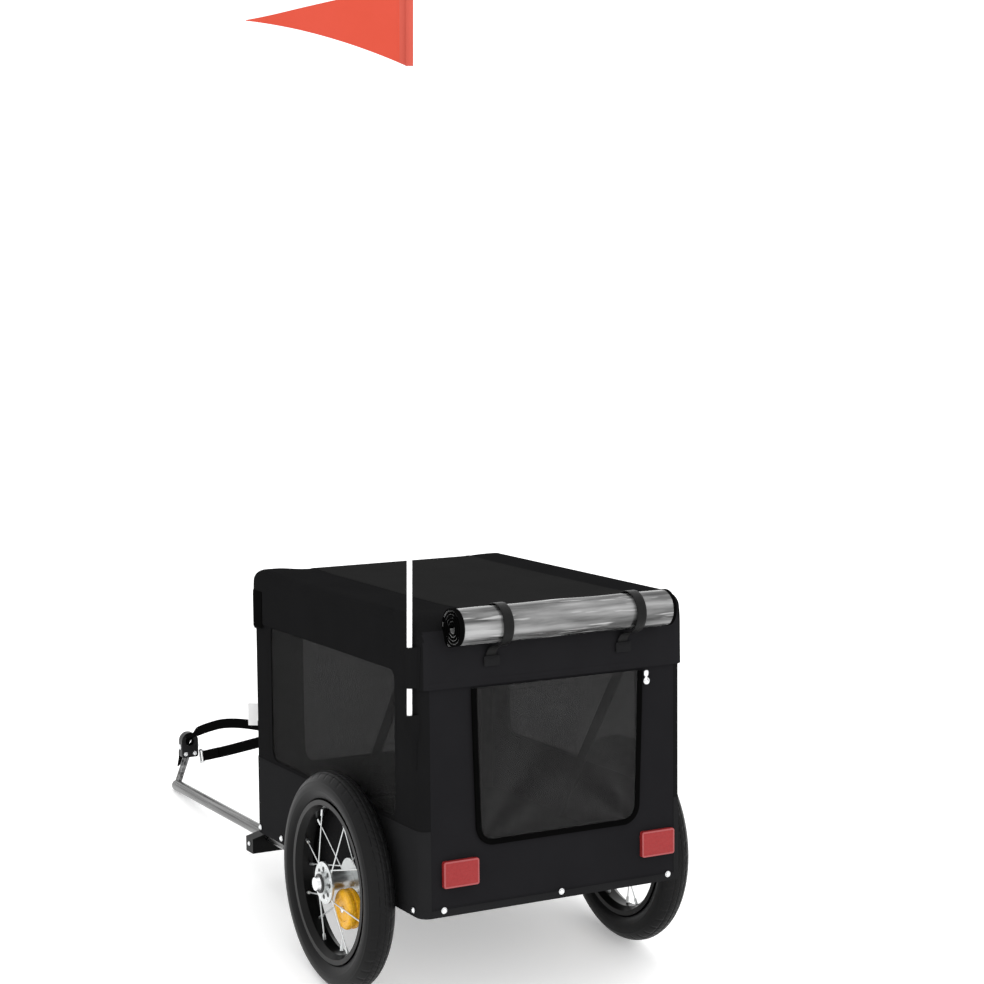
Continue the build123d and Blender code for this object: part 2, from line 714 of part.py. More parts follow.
# ---- blank tag in the front seam ----
tag_out = Vector(math.cos(math.radians(tag_turn)), math.sin(math.radians(tag_turn)), 0)
tag_root = Vector(half_l - corner_r, half_w - corner_r, floor_z + tag_foot_h) + tag_out * corner_r
with BuildPart() as tag:
    with BuildSketch(Plane(tag_root, x_dir=tag_out, z_dir=(0, 0, 1))):
        with Locations((tag_l / 2 + touch, 0)):
            Rectangle(tag_l, tag_t)
    extrude(amount=tag_w)
keep(tag, "tag")

# ---- parking: about the axle to the park angle, then the box's lower middle to the origin ----
park = Pos(axle_x, 0, axle_z) * Rot(0, park_angle, 0) * Pos(-axle_x, 0, -axle_z)
parked = [park * piece for piece in pieces]
extent = Compound(children=[copy.copy(piece) for piece in parked]).bounding_box()
home = Pos(-extent.center().X, -extent.center().Y, -extent.min.Z)
for piece, level in zip(parked, pieces):
    stored = home * piece
    stored.label = level.label
    export_step(stored, f"parts/{level.label}.step")
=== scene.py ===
"""Looks of a pet bike trailer: cloth, net, clear film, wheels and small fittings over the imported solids.

Everything is laid out level and in metres: X forward, Y to the left, Z up, from the ground under the
middle of the cabin. stored() then turns it nose down, as the solids stand, parked on the drawbar's end.
"""

import json
import math

import bmesh
import bpy
import numpy as np
from mathutils import Matrix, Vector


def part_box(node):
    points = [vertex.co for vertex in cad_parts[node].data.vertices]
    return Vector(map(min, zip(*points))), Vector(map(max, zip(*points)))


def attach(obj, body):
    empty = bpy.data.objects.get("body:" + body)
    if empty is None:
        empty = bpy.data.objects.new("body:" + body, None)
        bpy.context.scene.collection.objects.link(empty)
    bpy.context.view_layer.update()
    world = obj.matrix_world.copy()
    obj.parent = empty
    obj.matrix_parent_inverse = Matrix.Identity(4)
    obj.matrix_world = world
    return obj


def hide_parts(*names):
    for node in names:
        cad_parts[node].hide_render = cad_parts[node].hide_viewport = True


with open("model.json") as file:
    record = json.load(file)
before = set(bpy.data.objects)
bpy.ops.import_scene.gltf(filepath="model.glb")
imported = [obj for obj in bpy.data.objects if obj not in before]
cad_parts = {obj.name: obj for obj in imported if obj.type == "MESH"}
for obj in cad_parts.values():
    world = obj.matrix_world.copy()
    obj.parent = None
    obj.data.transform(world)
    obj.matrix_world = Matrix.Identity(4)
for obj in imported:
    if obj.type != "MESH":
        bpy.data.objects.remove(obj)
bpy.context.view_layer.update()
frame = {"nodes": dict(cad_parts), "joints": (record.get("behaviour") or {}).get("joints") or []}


SIDES = {1: "left", -1: "right"}
ENDS = {-1: "rear", 1: "front"}
MM = 0.001


# ---- the level frame, read from the solids ----
def middle(node):
    """Middle of a node's box, in the stored frame."""
    low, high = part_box(node)
    return (np.array(low) + np.array(high)) / 2


front_rail, rear_rail = middle("cross_rail_front"), middle("cross_rail_rear")
tyre_low, tyre_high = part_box("tyre_left")
FORWARD = (front_rail - rear_rail) / np.linalg.norm(front_rail - rear_rail)
LEFT = np.array((0.0, 1.0, 0.0))
UP = np.cross(FORWARD, LEFT)
AXES = np.stack([FORWARD, LEFT, UP])
WHEEL_R = (tyre_high.z - tyre_low.z) / 2
GROUND = (front_rail + rear_rail) / 2 - WHEEL_R * UP


def stored(points):
    """Level points in the stored frame: x times forward, y times left and z times up, from the ground."""
    return np.asarray(points) @ AXES + GROUND


def level(points):
    """Stored points in the level frame."""
    return (np.asarray(points) - GROUND) @ AXES.T


def level_box(node):
    """Lowest and highest corner of a node in the level frame."""
    mesh = frame["nodes"][node].data
    flat = np.empty(len(mesh.vertices) * 3, np.float32)
    mesh.vertices.foreach_get("co", flat)
    points = level(flat.reshape(-1, 3))
    return points.min(0), points.max(0)


def span(node):
    """A node's middle and size in the level frame."""
    low, high = level_box(node)
    return (low + high) / 2, high - low


def wheel_middle(side):
    """Middle of a wheel, level; side is 1 on the left and -1 on the right."""
    place = [j for j in frame["joints"] if j["name"] == f"wheel_{SIDES[side]}_spin"][0]["pos_m"]
    return level(np.array(place))


# ---- sizes, from the solids' boxes and a few of their own values ----
wall_low, wall_high = level_box("wall_left")
HALF_L, HALF_W = wall_high[0], wall_high[1]
FLOOR_Z, WALL_TOP = wall_low[2], wall_high[2]
CORNER_R = 14 * MM
WINDOW_MID, WINDOW_SIZE = (part[[0, 2]] for part in span("window_left"))
WINDOW_R = 22 * MM
cover_low, cover_high = level_box("roof_cover")
COVER_L, COVER_W, ROOF_Z = cover_high[0], cover_high[1], cover_high[2]
COVER_EDGE_R, COVER_BEND_R, COVER_PLAN_R = 10 * MM, 40 * MM, 17.3 * MM
HEM_SIDE = 464.8 * MM
HEM_END = {-1: cover_low[2], 1: 456 * MM}
HEM_WRAP = {-1: 70 * MM, 1: 36 * MM}
CLOTH_T, LAYER_T, THIN_T, FILM_T = 3 * MM, 0.9 * MM, 0.8 * MM, 0.5 * MM
DOOR_R = 26 * MM

CAMERA_AT = (-2.8581, 1.5142, 0.9993)
CAMERA_YAW, CAMERA_PITCH, CAMERA_ROLL = -28.82, 5.78, -0.496
CAMERA_LENS = 82.53


# ---- camera, floor and light ----
def make_camera():
    """The view from behind and to the left, a little above the roof."""
    yaw, pitch, roll = np.radians((CAMERA_YAW, CAMERA_PITCH, CAMERA_ROLL))
    ahead = np.array((math.cos(pitch) * math.cos(yaw), math.cos(pitch) * math.sin(yaw), -math.sin(pitch)))
    flat_right = np.array((math.sin(yaw), -math.cos(yaw), 0))
    right = math.cos(roll) * flat_right + math.sin(roll) * np.cross(flat_right, ahead)
    up = np.cross(right, ahead)
    turn = np.stack([right, up, -ahead]) @ AXES
    data = bpy.data.cameras.new("camera")
    data.lens, data.sensor_width = CAMERA_LENS, 36
    data.clip_start, data.clip_end = 0.1, 300
    camera = bpy.data.objects.new("camera", data)
    bpy.context.scene.collection.objects.link(camera)
    camera.matrix_world = Matrix.LocRotScale(stored(CAMERA_AT), Matrix(turn.T.tolist()), None)
    bpy.context.scene.camera = camera


def area_light(name, at, size, power):
    """A square soft light at a stored place, turned to the cabin."""
    data = bpy.data.lights.new(name, "AREA")
    data.shape, data.size, data.energy = "SQUARE", size, power
    lamp = bpy.data.objects.new(name, data)
    bpy.context.scene.collection.objects.link(lamp)
    towards = np.array(at) - stored((0, 0, 0.35))
    towards /= np.linalg.norm(towards)
    right = np.cross((0, 0, 1), towards)
    right /= np.linalg.norm(right)
    turn = np.stack([right, np.cross(towards, right), towards])
    lamp.matrix_world = Matrix.LocRotScale(at, Matrix(turn.T.tolist()), None)


def make_stage():
    """A wide pale floor, even white surroundings and soft lights above."""
    reach = 80.0
    mesh = bpy.data.meshes.new("floor")
    corners = [(-reach, -reach, 0), (reach, -reach, 0), (reach, reach, 0), (-reach, reach, 0)]
    mesh.from_pydata(corners, [], [(0, 1, 2, 3)])
    floor = bpy.data.objects.new("floor", mesh)
    bpy.context.scene.collection.objects.link(floor)
    pale, tree, shader = look("pale_floor", grey(0.9), 0.9, Specular_IOR_Level=0.1)
    speck = add(tree, "ShaderNodeTexNoise", {"Vector": object_place(tree), "Scale": 3.0, "Detail": 2.0})
    shade(tree, shader, speck.outputs["Fac"], grey(0.89), grey(0.91))
    shader.inputs["Emission Color"].default_value = (1, 1, 1, 1)
    shader.inputs["Emission Strength"].default_value = 0.3
    mesh.materials.append(pale)
    world = bpy.data.worlds.new("studio")
    bpy.context.scene.world = world
    world.use_nodes = True
    world.node_tree.nodes["Background"].inputs["Color"].default_value = (1, 1, 1, 1)
    world.node_tree.nodes["Background"].inputs["Strength"].default_value = 1.2
    area_light("roof_light", (-0.4, -0.6, 3.6), 2.2, 20)
    area_light("rear_light", (-3.4, -0.6, 2.2), 1.4, 18)
    area_light("side_light", (-1.6, 3.4, 1.6), 1.2, 4)
    bpy.context.scene.view_settings.view_transform = "Standard"


# ---- material nodes ----
def add(tree, kind, inputs=None, **settings):
    """A new node; inputs are its sockets by name or number, each a number, a colour or another socket."""
    node = tree.nodes.new(kind)
    for key, value in settings.items():
        setattr(node, key, value)
    for key, value in (inputs or {}).items():
        if isinstance(value, bpy.types.NodeSocket):
            tree.links.new(value, node.inputs[key])
        else:
            node.inputs[key].default_value = value
    return node


def look(name, color, rough, metal=0.0, **more):
    """A new material: its node tree and its shader come with it. more sets the shader's other sockets."""
    made = bpy.data.materials.new(name)
    made.use_nodes = True
    shader = made.node_tree.nodes["Principled BSDF"]
    shader.inputs["Base Color"].default_value = (*color, 1)
    shader.inputs["Roughness"].default_value = rough
    shader.inputs["Metallic"].default_value = metal
    for key, value in more.items():
        shader.inputs[key.replace("_", " ")].default_value = value
    return made, made.node_tree, shader


def grey(value):
    """A colour with no tint."""
    return value, value, value


def object_place(tree):
    """The place on the piece, in metres."""
    return add(tree, "ShaderNodeTexCoord").outputs["Object"]


def thread_place(tree):
    """The place along and across a cloth, in metres."""
    return add(tree, "ShaderNodeUVMap", uv_map="threads").outputs["UV"]


def calc(tree, operation, a, b=0.0, c=0.0):
    """A sum on sockets or numbers."""
    return add(tree, "ShaderNodeMath", {0: a, 1: b, 2: c}, operation=operation).outputs[0]


def blend(tree, a, share, b):
    """Two factors in one: a share of the first and the rest of the second."""
    return calc(tree, "MULTIPLY_ADD", a, share, calc(tree, "MULTIPLY", b, 1 - share))


def shade(tree, shader, factor, dark, light):
    """A colour between dark and light, by factor from 0 to 1."""
    mix = add(tree, "ShaderNodeMix", {"Factor": factor}, data_type="RGBA")
    mix.inputs[6].default_value = (*dark, 1)
    mix.inputs[7].default_value = (*light, 1)
    tree.links.new(mix.outputs[2], shader.inputs["Base Color"])


def vary(tree, shader, factor, low, high, socket="Roughness"):
    """A number between low and high, by factor from 0 to 1."""
    spread = add(tree, "ShaderNodeMapRange", {"Value": factor, "To Min": low, "To Max": high})
    tree.links.new(spread.outputs["Result"], shader.inputs[socket])


def relief(tree, shader, *layers):
    """Bumps from (height, depth in metres) layers, each on the one before it."""
    before = None
    for height, depth in layers:
        bump = add(tree, "ShaderNodeBump", {"Height": height, "Distance": depth, "Strength": 1.0})
        if before is not None:
            tree.links.new(before, bump.inputs["Normal"])
        before = bump.outputs["Normal"]
    tree.links.new(before, shader.inputs["Normal"])


def weave(tree, pitch):
    """A plain weave: the sine of the way along times the sine of the way across, between 0 and 1."""
    way = add(tree, "ShaderNodeSeparateXYZ", {0: thread_place(tree)})
    beat = math.pi / pitch
    along = calc(tree, "SINE", calc(tree, "MULTIPLY", way.outputs[0], beat))
    across = calc(tree, "SINE", calc(tree, "MULTIPLY", way.outputs[1], beat))
    return calc(tree, "MULTIPLY_ADD", calc(tree, "MULTIPLY", along, across), 0.5, 0.5)


def noise(tree, scale, detail=3.0, stretch=None, place=None):
    """Cloudy noise of so many clouds a metre, from 0 to 1; stretch gives each axis its own scale."""
    place = place or object_place(tree)
    if stretch:
        place = add(tree, "ShaderNodeMapping", {"Vector": place, "Scale": stretch}).outputs[0]
    return add(tree, "ShaderNodeTexNoise", {"Vector": place, "Scale": scale, "Detail": detail}).outputs["Fac"]


def cloth_look(name, dark, light, pitch, rough=0.85, gloss=0.0):
    """Woven cloth: a fine weave in the relief and the colour, and soft clouds of wear."""
    made, tree, shader = look(name, light, rough, Specular_IOR_Level=gloss, Sheen_Weight=0.004)
    shader.inputs["Sheen Roughness"].default_value = 0.5
    threads, clouds = weave(tree, pitch), noise(tree, 14)
    shade(tree, shader, blend(tree, threads, 0.35, clouds), dark, light)
    vary(tree, shader, clouds, rough - 0.08, rough + 0.06)
    relief(tree, shader, (noise(tree, 60), 0.4 * MM), (threads, 0.25 * MM))
    return made


def net_look(name, dark, light, pitch, cover):
    """Fine net: holes where the weave is low, with cover the share of light that the net stops.

    The mesh's tone attribute, where it has one, lightens or darkens it as painted light and shade.
    """
    made, tree, shader = look(name, light, 0.7, Specular_IOR_Level=0.02, Sheen_Weight=0.005)
    threads, clouds = weave(tree, pitch), noise(tree, 9)
    tone = add(tree, "ShaderNodeAttribute", attribute_name="tone").outputs["Fac"]
    shade(tree, shader, calc(tree, "ADD", blend(tree, threads, 0.3, clouds), tone), dark, light)
    vary(tree, shader, threads, 2 * cover - 1, 1.0, "Alpha")
    relief(tree, shader, (noise(tree, 25), 0.3 * MM), (threads, 0.2 * MM))
    return made


def level_place(tree):
    """The place in the level frame: its products with the forward, left and upward directions."""
    place = object_place(tree)
    ways = []
    for way in AXES:
        product = add(tree, "ShaderNodeVectorMath", {0: place, 1: way}, operation="DOT_PRODUCT")
        ways.append(product.outputs["Value"])
    return add(tree, "ShaderNodeCombineXYZ", dict(enumerate(ways))).outputs[0]


def metal_look(name, dark, light, rough, grain=None):
    """Bare or plated metal with clouds of tarnish; grain stretches drawn lines, in the level frame."""
    made, tree, shader = look(name, light, rough, 1.0)
    clouds = noise(tree, 22, 4)
    lines = noise(tree, 180 if grain else 260, 3, grain, level_place(tree) if grain else None)
    tone = clouds
    if grain:
        tone = calc(tree, "MULTIPLY_ADD", calc(tree, "SUBTRACT", lines, 0.5), 2.4, 0.5)
        tone = calc(tree, "MINIMUM", calc(tree, "MAXIMUM", tone, 0.0), 1.0)
    shade(tree, shader, tone, dark, light)
    vary(tree, shader, blend(tree, lines, 0.6, clouds), rough * 0.7, rough * 1.35)
    relief(tree, shader, (lines, 0.05 * MM))
    return made


def paint_look(name, dark, light, rough, peel=0.12 * MM, **more):
    """Powder coat or moulded plastic: an orange-peel relief and slight clouds of dust."""
    made, tree, shader = look(name, light, rough, **more)
    clouds = noise(tree, 17, 4)
    shade(tree, shader, clouds, dark, light)
    vary(tree, shader, clouds, rough - 0.06, rough + 0.08)
    relief(tree, shader, (noise(tree, 700, 2), peel))
    return made


def rubber_look():
    """Tyre rubber: a soft gloss on the sidewalls, greyer with dust in patches, with a fine grain."""
    made, tree, shader = look("tyre_rubber", (0.008, 0.008, 0.0083), 0.4, Specular_IOR_Level=0.07)
    dust = noise(tree, 11, 5)
    shade(tree, shader, dust, (0.005, 0.005, 0.0052), (0.0125, 0.0125, 0.0128))
    vary(tree, shader, dust, 0.28, 0.48)
    relief(tree, shader, (noise(tree, 900, 2), 0.05 * MM))
    return made


def film_look():
    """Clear soft film in many layers: grey and smooth, with creases along the roll, and painted highlights
    and shade in bands along them and in small white spots.
    """
    made, tree, shader = look("clear_film", grey(0.25), 0.2, Specular_IOR_Level=0.5)
    creases = noise(tree, 48, 5, (1.0, 0.1, 1.0))
    fine = noise(tree, 190, 4, (1.0, 0.06, 1.0))
    # the creases and the fine noise are painted into the colour: bright and dark bands along the roll and
    # small white spots, as painted highlights and shade
    painted_highlight_streaks = calc(tree, "MULTIPLY_ADD", calc(tree, "SUBTRACT", creases, 0.5), 3.2, 0.24)
    painted_glints = calc(tree, "MULTIPLY", calc(tree, "MAXIMUM", calc(tree, "SUBTRACT", fine, 0.58), 0.0), 9.0)
    painted_highlight_streaks = calc(tree, "MAXIMUM", calc(tree, "ADD", painted_highlight_streaks, painted_glints), 0.0)
    shade(tree, shader, calc(tree, "MINIMUM", painted_highlight_streaks, 1.0), grey(0.02), grey(0.35))
    vary(tree, shader, creases, 0.05, 0.35)
    relief(tree, shader, (creases, 2.4 * MM), (fine, 0.6 * MM))
    return made


def lens_look(name, dark, light, see_through):
    """Coloured plastic over a field of small cells: they show in the relief and a little in the colour."""
    made, tree, shader = look(name, light, 0.2, Specular_IOR_Level=0.25)
    shader.inputs["Transmission Weight"].default_value = see_through
    cells = add(tree, "ShaderNodeTexVoronoi", {"Vector": object_place(tree), "Scale": 330.0})
    cells = cells.outputs["Distance"]
    clouds = noise(tree, 30, 2)
    shade(tree, shader, blend(tree, cells, 0.5, clouds), light, dark)
    vary(tree, shader, clouds, 0.14, 0.3)
    relief(tree, shader, (cells, 0.12 * MM))
    return made


LOOKS = {
    # One black cloth in lit and shaded copies: painted light makes the end walls, the cover's end flaps and
    # the roof panel lighter, and painted shade makes the side walls, the window bindings, the rest of the
    # cover and the pole sleeves darker.
    "cloth": cloth_look("black_cloth", (0.0095, 0.0094, 0.0104), (0.0150, 0.0147, 0.0161), 0.9 * MM),
    "side_cloth": cloth_look("side_cloth", (0.0065, 0.0065, 0.0068), (0.0110, 0.0110, 0.0114), 0.9 * MM),
    "cover": cloth_look("cover_cloth", (0.0105, 0.0104, 0.0114), (0.0165, 0.0162, 0.0176), 0.9 * MM),
    "roof_edge": cloth_look("cover_painted_shade_cloth", (0.0062, 0.0062, 0.0065), (0.0104, 0.0104, 0.0108), 0.9 * MM),
    "panel": cloth_look("panel_cloth", (0.0125, 0.0125, 0.0132), (0.0175, 0.0175, 0.0182), 0.9 * MM),
    "roof_panel": cloth_look("roof_panel_painted_light_cloth", grey(0.0120), grey(0.0172), 0.9 * MM),
    "webbing": cloth_look("webbing_straps", grey(0.0008), grey(0.0035), 1.3 * MM),
    "band": cloth_look("roll_band_webbing", grey(0.004), grey(0.011), 1.3 * MM, 0.35, gloss=0.08),
    "net": net_look("window_net", grey(0.0095), grey(0.0145), 1.1 * MM, 0.72),
    "door_net": net_look("door_net", grey(0.0185), grey(0.0275), 1.1 * MM, 0.66),
    "flag": cloth_look("flag_cloth", (0.57, 0.075, 0.044), (0.63, 0.089, 0.058), 0.8 * MM),
    "flag_hem": cloth_look("flag_hem_cloth", (0.5, 0.086, 0.062), (0.58, 0.11, 0.08), 0.8 * MM),
    "tag": cloth_look("tag_cloth", grey(0.75), grey(0.88), 0.5 * MM),
    "paint": paint_look("frame_paint", grey(0.002), grey(0.006), 0.45, Specular_IOR_Level=0.06),
    "clamp": paint_look("clamp_paint", grey(0.0008), grey(0.003), 0.4, 0.05 * MM,
                        Specular_IOR_Level=0.1),
    "board": paint_look("floor_board", grey(0.02), grey(0.035), 0.8, 0.3 * MM),
    "rim": paint_look("rim_paint", grey(0.0015), grey(0.004), 0.3, 0.03 * MM,
                      Specular_IOR_Level=0.14),
    "steel": metal_look("bar_steel", grey(0.005), grey(0.27), 0.26, (0.02, 1, 1)),
    "yoke": metal_look("yoke_steel", (0.01, 0.01, 0.011), (0.045, 0.045, 0.046), 0.42),
    "bright": metal_look("bright_plate", (0.62, 0.63, 0.64), (0.92, 0.93, 0.94), 0.26),
    "spokes": metal_look("spoke_steel", (0.46, 0.475, 0.475), (0.8, 0.82, 0.82), 0.36),
    "rod": paint_look("white_rod", grey(0.88), grey(0.95), 0.3, 0.03 * MM),
    "dark": paint_look("dark_plastic", grey(0.004), grey(0.010), 0.4, 0.05 * MM),
    "tyre": rubber_look(),
    "film": film_look(),
    "red": lens_look("red_lens", (0.225, 0.012, 0.013), (0.29, 0.023, 0.024), 0.0),
    "red_plain": paint_look("red_rim_plastic", (0.27, 0.034, 0.036), (0.34, 0.055, 0.058), 0.3, 0.03 * MM),
    "amber": lens_look("amber_lens", (0.55, 0.22, 0.003), (0.95, 0.54, 0.022), 0.06),
}
THREAD = cloth_look("sewing_thread", grey(0.006), grey(0.018), 0.4 * MM)


# ---- surfaces ----
def grid_of(*parts):
    """Points from arrays of their coordinates, each repeated along the directions that it lacks."""
    return np.stack(np.broadcast_arrays(*parts), -1)


def ease(share):
    """A soft step from 0 to 1: three times the square less twice the cube."""
    share = np.clip(share, 0, 1)
    return share ** 2 * (3 - 2 * share)


def smooth(points, count):
    """A path through points: a cubic on each run, whose end slopes follow the points on either side."""
    points = np.asarray(points, float)
    slope = np.gradient(points, axis=0)
    at = np.linspace(0, len(points) - 1, count)
    k = np.minimum(at.astype(int), len(points) - 2)
    t = (at - k)[:, None]
    rise = 3 * t ** 2 - 2 * t ** 3
    return ((1 - rise) * points[k] + rise * points[k + 1] + (t ** 3 - 2 * t ** 2 + t) * slope[k]
            + (t ** 3 - t ** 2) * slope[k + 1])


def patch(points, uv=None):
    """A grid of points (rows, columns, 3) as points, quads and the way along and across at each point.

    Where none is given, the way across is the mean length along a row, and the way along that of a column.
    """
    points = np.asarray(points, float)
    rows, columns = points.shape[:2]
    first = np.arange(rows * columns).reshape(rows, columns)
    quads = np.stack([first[:-1, :-1], first[:-1, 1:], first[1:, 1:], first[1:, :-1]], -1)
    if uv is None:
        down = np.linalg.norm(np.diff(points, axis=0), axis=2).mean(1)
        over = np.linalg.norm(np.diff(points, axis=1), axis=2).mean(0)
        uv = grid_of(np.concatenate([[0], down.cumsum()])[:, None], np.concatenate([[0], over.cumsum()]))
    return points.reshape(-1, 3), quads.reshape(-1, 4), np.asarray(uv, float).reshape(-1, 2)


def join(patches):
    """Several patches as one."""
    starts = np.cumsum([0] + [len(p[0]) for p in patches])
    quads = [q + start for (_, q, _), start in zip(patches, starts)]
    points, ways = (np.concatenate([p[k] for p in patches]) for k in (0, 2))
    return points, np.concatenate(quads), ways


def piece(name, shape, finish, body="trailer", stands_for=(), thick=0.0, zones=None,
          crease=40.0, tone=None):
    """A mesh piece from a level shape. Double points are merged and its faces turned outwards.

    thick gives a sheet its thickness, half to each side; zones are each quad's number in the list finish;
    tone is each point's painted light and shade, which a net adds to its colour.
    """
    points, quads, uv = shape
    finishes = finish if isinstance(finish, list) else [finish]
    mesh = bpy.data.meshes.new(name)
    mesh.vertices.add(len(points))
    mesh.vertices.foreach_set("co", stored(points).astype(np.float32).ravel())
    mesh.loops.add(quads.size)
    mesh.loops.foreach_set("vertex_index", quads.astype(np.int32).ravel())
    mesh.polygons.add(len(quads))
    mesh.polygons.foreach_set("loop_start", np.arange(0, quads.size, 4, dtype=np.int32))
    mesh.update(calc_edges=True)
    layer = mesh.uv_layers.new(name="threads")
    layer.data.foreach_set("uv", uv[quads.ravel()].astype(np.float32).ravel())
    if tone is not None:
        shades = mesh.attributes.new("tone", "FLOAT", "POINT")
        shades.data.foreach_set("value", tone.astype(np.float32).ravel())
    for each in finishes:
        mesh.materials.append(LOOKS[each] if isinstance(each, str) else each)
    if zones is not None:
        mesh.polygons.foreach_set("material_index", np.asarray(zones, np.int32))
    work = bmesh.new()
    work.from_mesh(mesh)
    bmesh.ops.remove_doubles(work, verts=work.verts, dist=0.01 * MM)
    bmesh.ops.dissolve_degenerate(work, edges=work.edges, dist=0.005 * MM)
    bmesh.ops.recalc_face_normals(work, faces=work.faces)
    work.to_mesh(mesh)
    work.free()
    mesh.shade_smooth()
    mesh.set_sharp_from_angle(angle=math.radians(crease))
    sharpen_border(mesh)
    made = bpy.data.objects.new(name, mesh)
    bpy.context.scene.collection.objects.link(made)
    if thick:
        shell = made.modifiers.new("thickness", "SOLIDIFY")
        shell.thickness, shell.offset = thick, 0.0
    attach(made, body)
    if stands_for:
        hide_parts(*stands_for)
    return made


def sharpen_border(mesh):
    """A sheet's open border is a sharp edge, so that its thickness shades as a cut edge does."""
    uses = np.zeros(len(mesh.loops), np.int32)
    mesh.loops.foreach_get("edge_index", uses)
    border = np.bincount(uses, minlength=len(mesh.edges)) == 1
    sharp = np.zeros(len(mesh.edges), bool)
    flags = mesh.attributes.get("sharp_edge") or mesh.attributes.new("sharp_edge", "BOOLEAN", "EDGE")
    flags.data.foreach_get("value", sharp)
    flags.data.foreach_set("value", sharp | border)


def ripple(a, b, length, seed, waves=6):
    """Soft unevenness from -1 to 1: the mean of sines in random directions, each about length long."""
    draw = np.random.default_rng(seed)
    turn, phase = draw.uniform(0, 2 * math.pi, (2, waves))
    size = draw.uniform(0.7, 1.5, waves) * length
    total = 0
    for t, p, s in zip(turn, phase, size):
        total = total + np.sin((a * math.cos(t) + b * math.sin(t)) * 2 * math.pi / s + p)
    return total / waves


def outline(centre, size, radii, corner=10, run=16, square=0.0):
    """A rectangle's outline with rounded corners, from the lower right one round against the clock.

    A corner is its radius times cosine and sine; square draws it out, up to a true corner at 1.
    radii is one radius for all the corners, or one for each.
    """
    half = np.array(size) / 2
    turns = np.linspace(0, math.pi / 2, corner)
    arcs = []
    signs = ((1, -1), (1, 1), (-1, 1), (-1, -1))
    for k, (sign, radius) in enumerate(zip(signs, np.broadcast_to(radii, 4))):
        turn = turns + (k - 1) * math.pi / 2
        way = np.stack([np.cos(turn), np.sin(turn)], 1)
        reach = radius / np.abs(way).max(1, keepdims=True) ** square
        arcs.append(np.array(centre) + np.array(sign) * (half - radius) + reach * way)
    share = np.linspace(0, 1, run + 2)[1:-1, None]
    loop = []
    for arc, after in zip(arcs, arcs[1:] + arcs[:1]):
        loop += [arc, arc[-1] * (1 - share) + after[0] * share]
    return np.concatenate(loop + [arcs[0][:1]])


def between(inner, outer, rows):
    """Rings from a point or an outline to another outline, in straight lines: (rows, points, 2)."""
    share = np.linspace(0, 1, rows)[:, None, None]
    return inner * (1 - share) + outer * share


def sweep(path, across, section):
    """A closed bar: a section of (across, up) points carried along a path and closed at both ends.

    Up is the path's direction crossed with across, at each point.
    """
    path, across = np.asarray(path, float), np.broadcast_to(across, np.shape(path)).astype(float)
    ahead = np.gradient(path, axis=0)
    ahead /= np.linalg.norm(ahead, axis=1, keepdims=True)
    up = np.cross(ahead, across)
    up /= np.linalg.norm(up, axis=1, keepdims=True)
    over = np.cross(up, ahead)
    section = np.concatenate([section, section[:1]])
    body = path[:, None] + over[:, None] * section[None, :, :1] + up[:, None] * section[None, :, 1:]
    tips = [np.broadcast_to(body[k].mean(0), body[:1].shape) for k in (0, -1)]
    return patch(np.concatenate([tips[0], body, tips[1]]))


def wire_section(reach, radius, steps=8):
    """A wire's closed section at a distance from its axis: its radius times cosine and sine."""
    turn = np.linspace(0, 2 * math.pi, steps + 1)
    return np.stack([reach + radius * np.cos(turn), radius * np.sin(turn)], 1)


def strap_section(width, thick):
    """A flat strap's section with rounded edges."""
    return outline((0, 0), (width, thick), thick * 0.45, 4, 3)[:-1]


def turned(centre, profile, out, steps, grow=0.0):
    """A profile of (radius, along) points turned about the line through centre along out.

    Across out the place is the radius times cosine and sine; grow is added to the radius on the whole grid.
    """
    out = np.asarray(out, float) / np.linalg.norm(out)
    first = np.cross(out, (0, 0, 1)) if abs(out[2]) < 0.9 else np.cross(out, (1, 0, 0))
    first /= np.linalg.norm(first)
    second = np.cross(out, first)
    profile = np.asarray(profile, float)
    turn = np.linspace(0, 2 * math.pi, steps + 1)[None, :, None]
    radius = profile[:, :1, None] + (np.asarray(grow)[..., None] if np.ndim(grow) else grow)
    ring = np.cos(turn) * first + np.sin(turn) * second
    grid = np.asarray(centre) + radius * ring + profile[:, 1, None, None] * out
    lengths = np.concatenate([[0], np.linalg.norm(np.diff(profile, axis=0), axis=1).cumsum()])
    around = np.linspace(0, 2 * math.pi, steps + 1) * profile[:, 0].max()
    return patch(grid, grid_of(lengths[:, None], around))


def plate(centre, size, radius, steps, right, up):
    """A plate from (inset, height) steps: rounded rectangles drawn in and raised, closed at both ends."""
    right, up = np.asarray(right, float), np.asarray(up, float)
    out = np.cross(right, up)
    rings = [outline((0, 0), np.array(size) - 2 * i, max(radius - i, 0.1 * MM), 6, 4) for i, _ in steps]
    rings = [rings[0] * 0, *rings, rings[-1] * 0]
    heights = [steps[0][1], *(h for _, h in steps), steps[-1][1]]
    grid = [centre + r[:, :1] * right + r[:, 1:] * up + h * out for r, h in zip(rings, heights)]
    return patch(np.stack(grid))


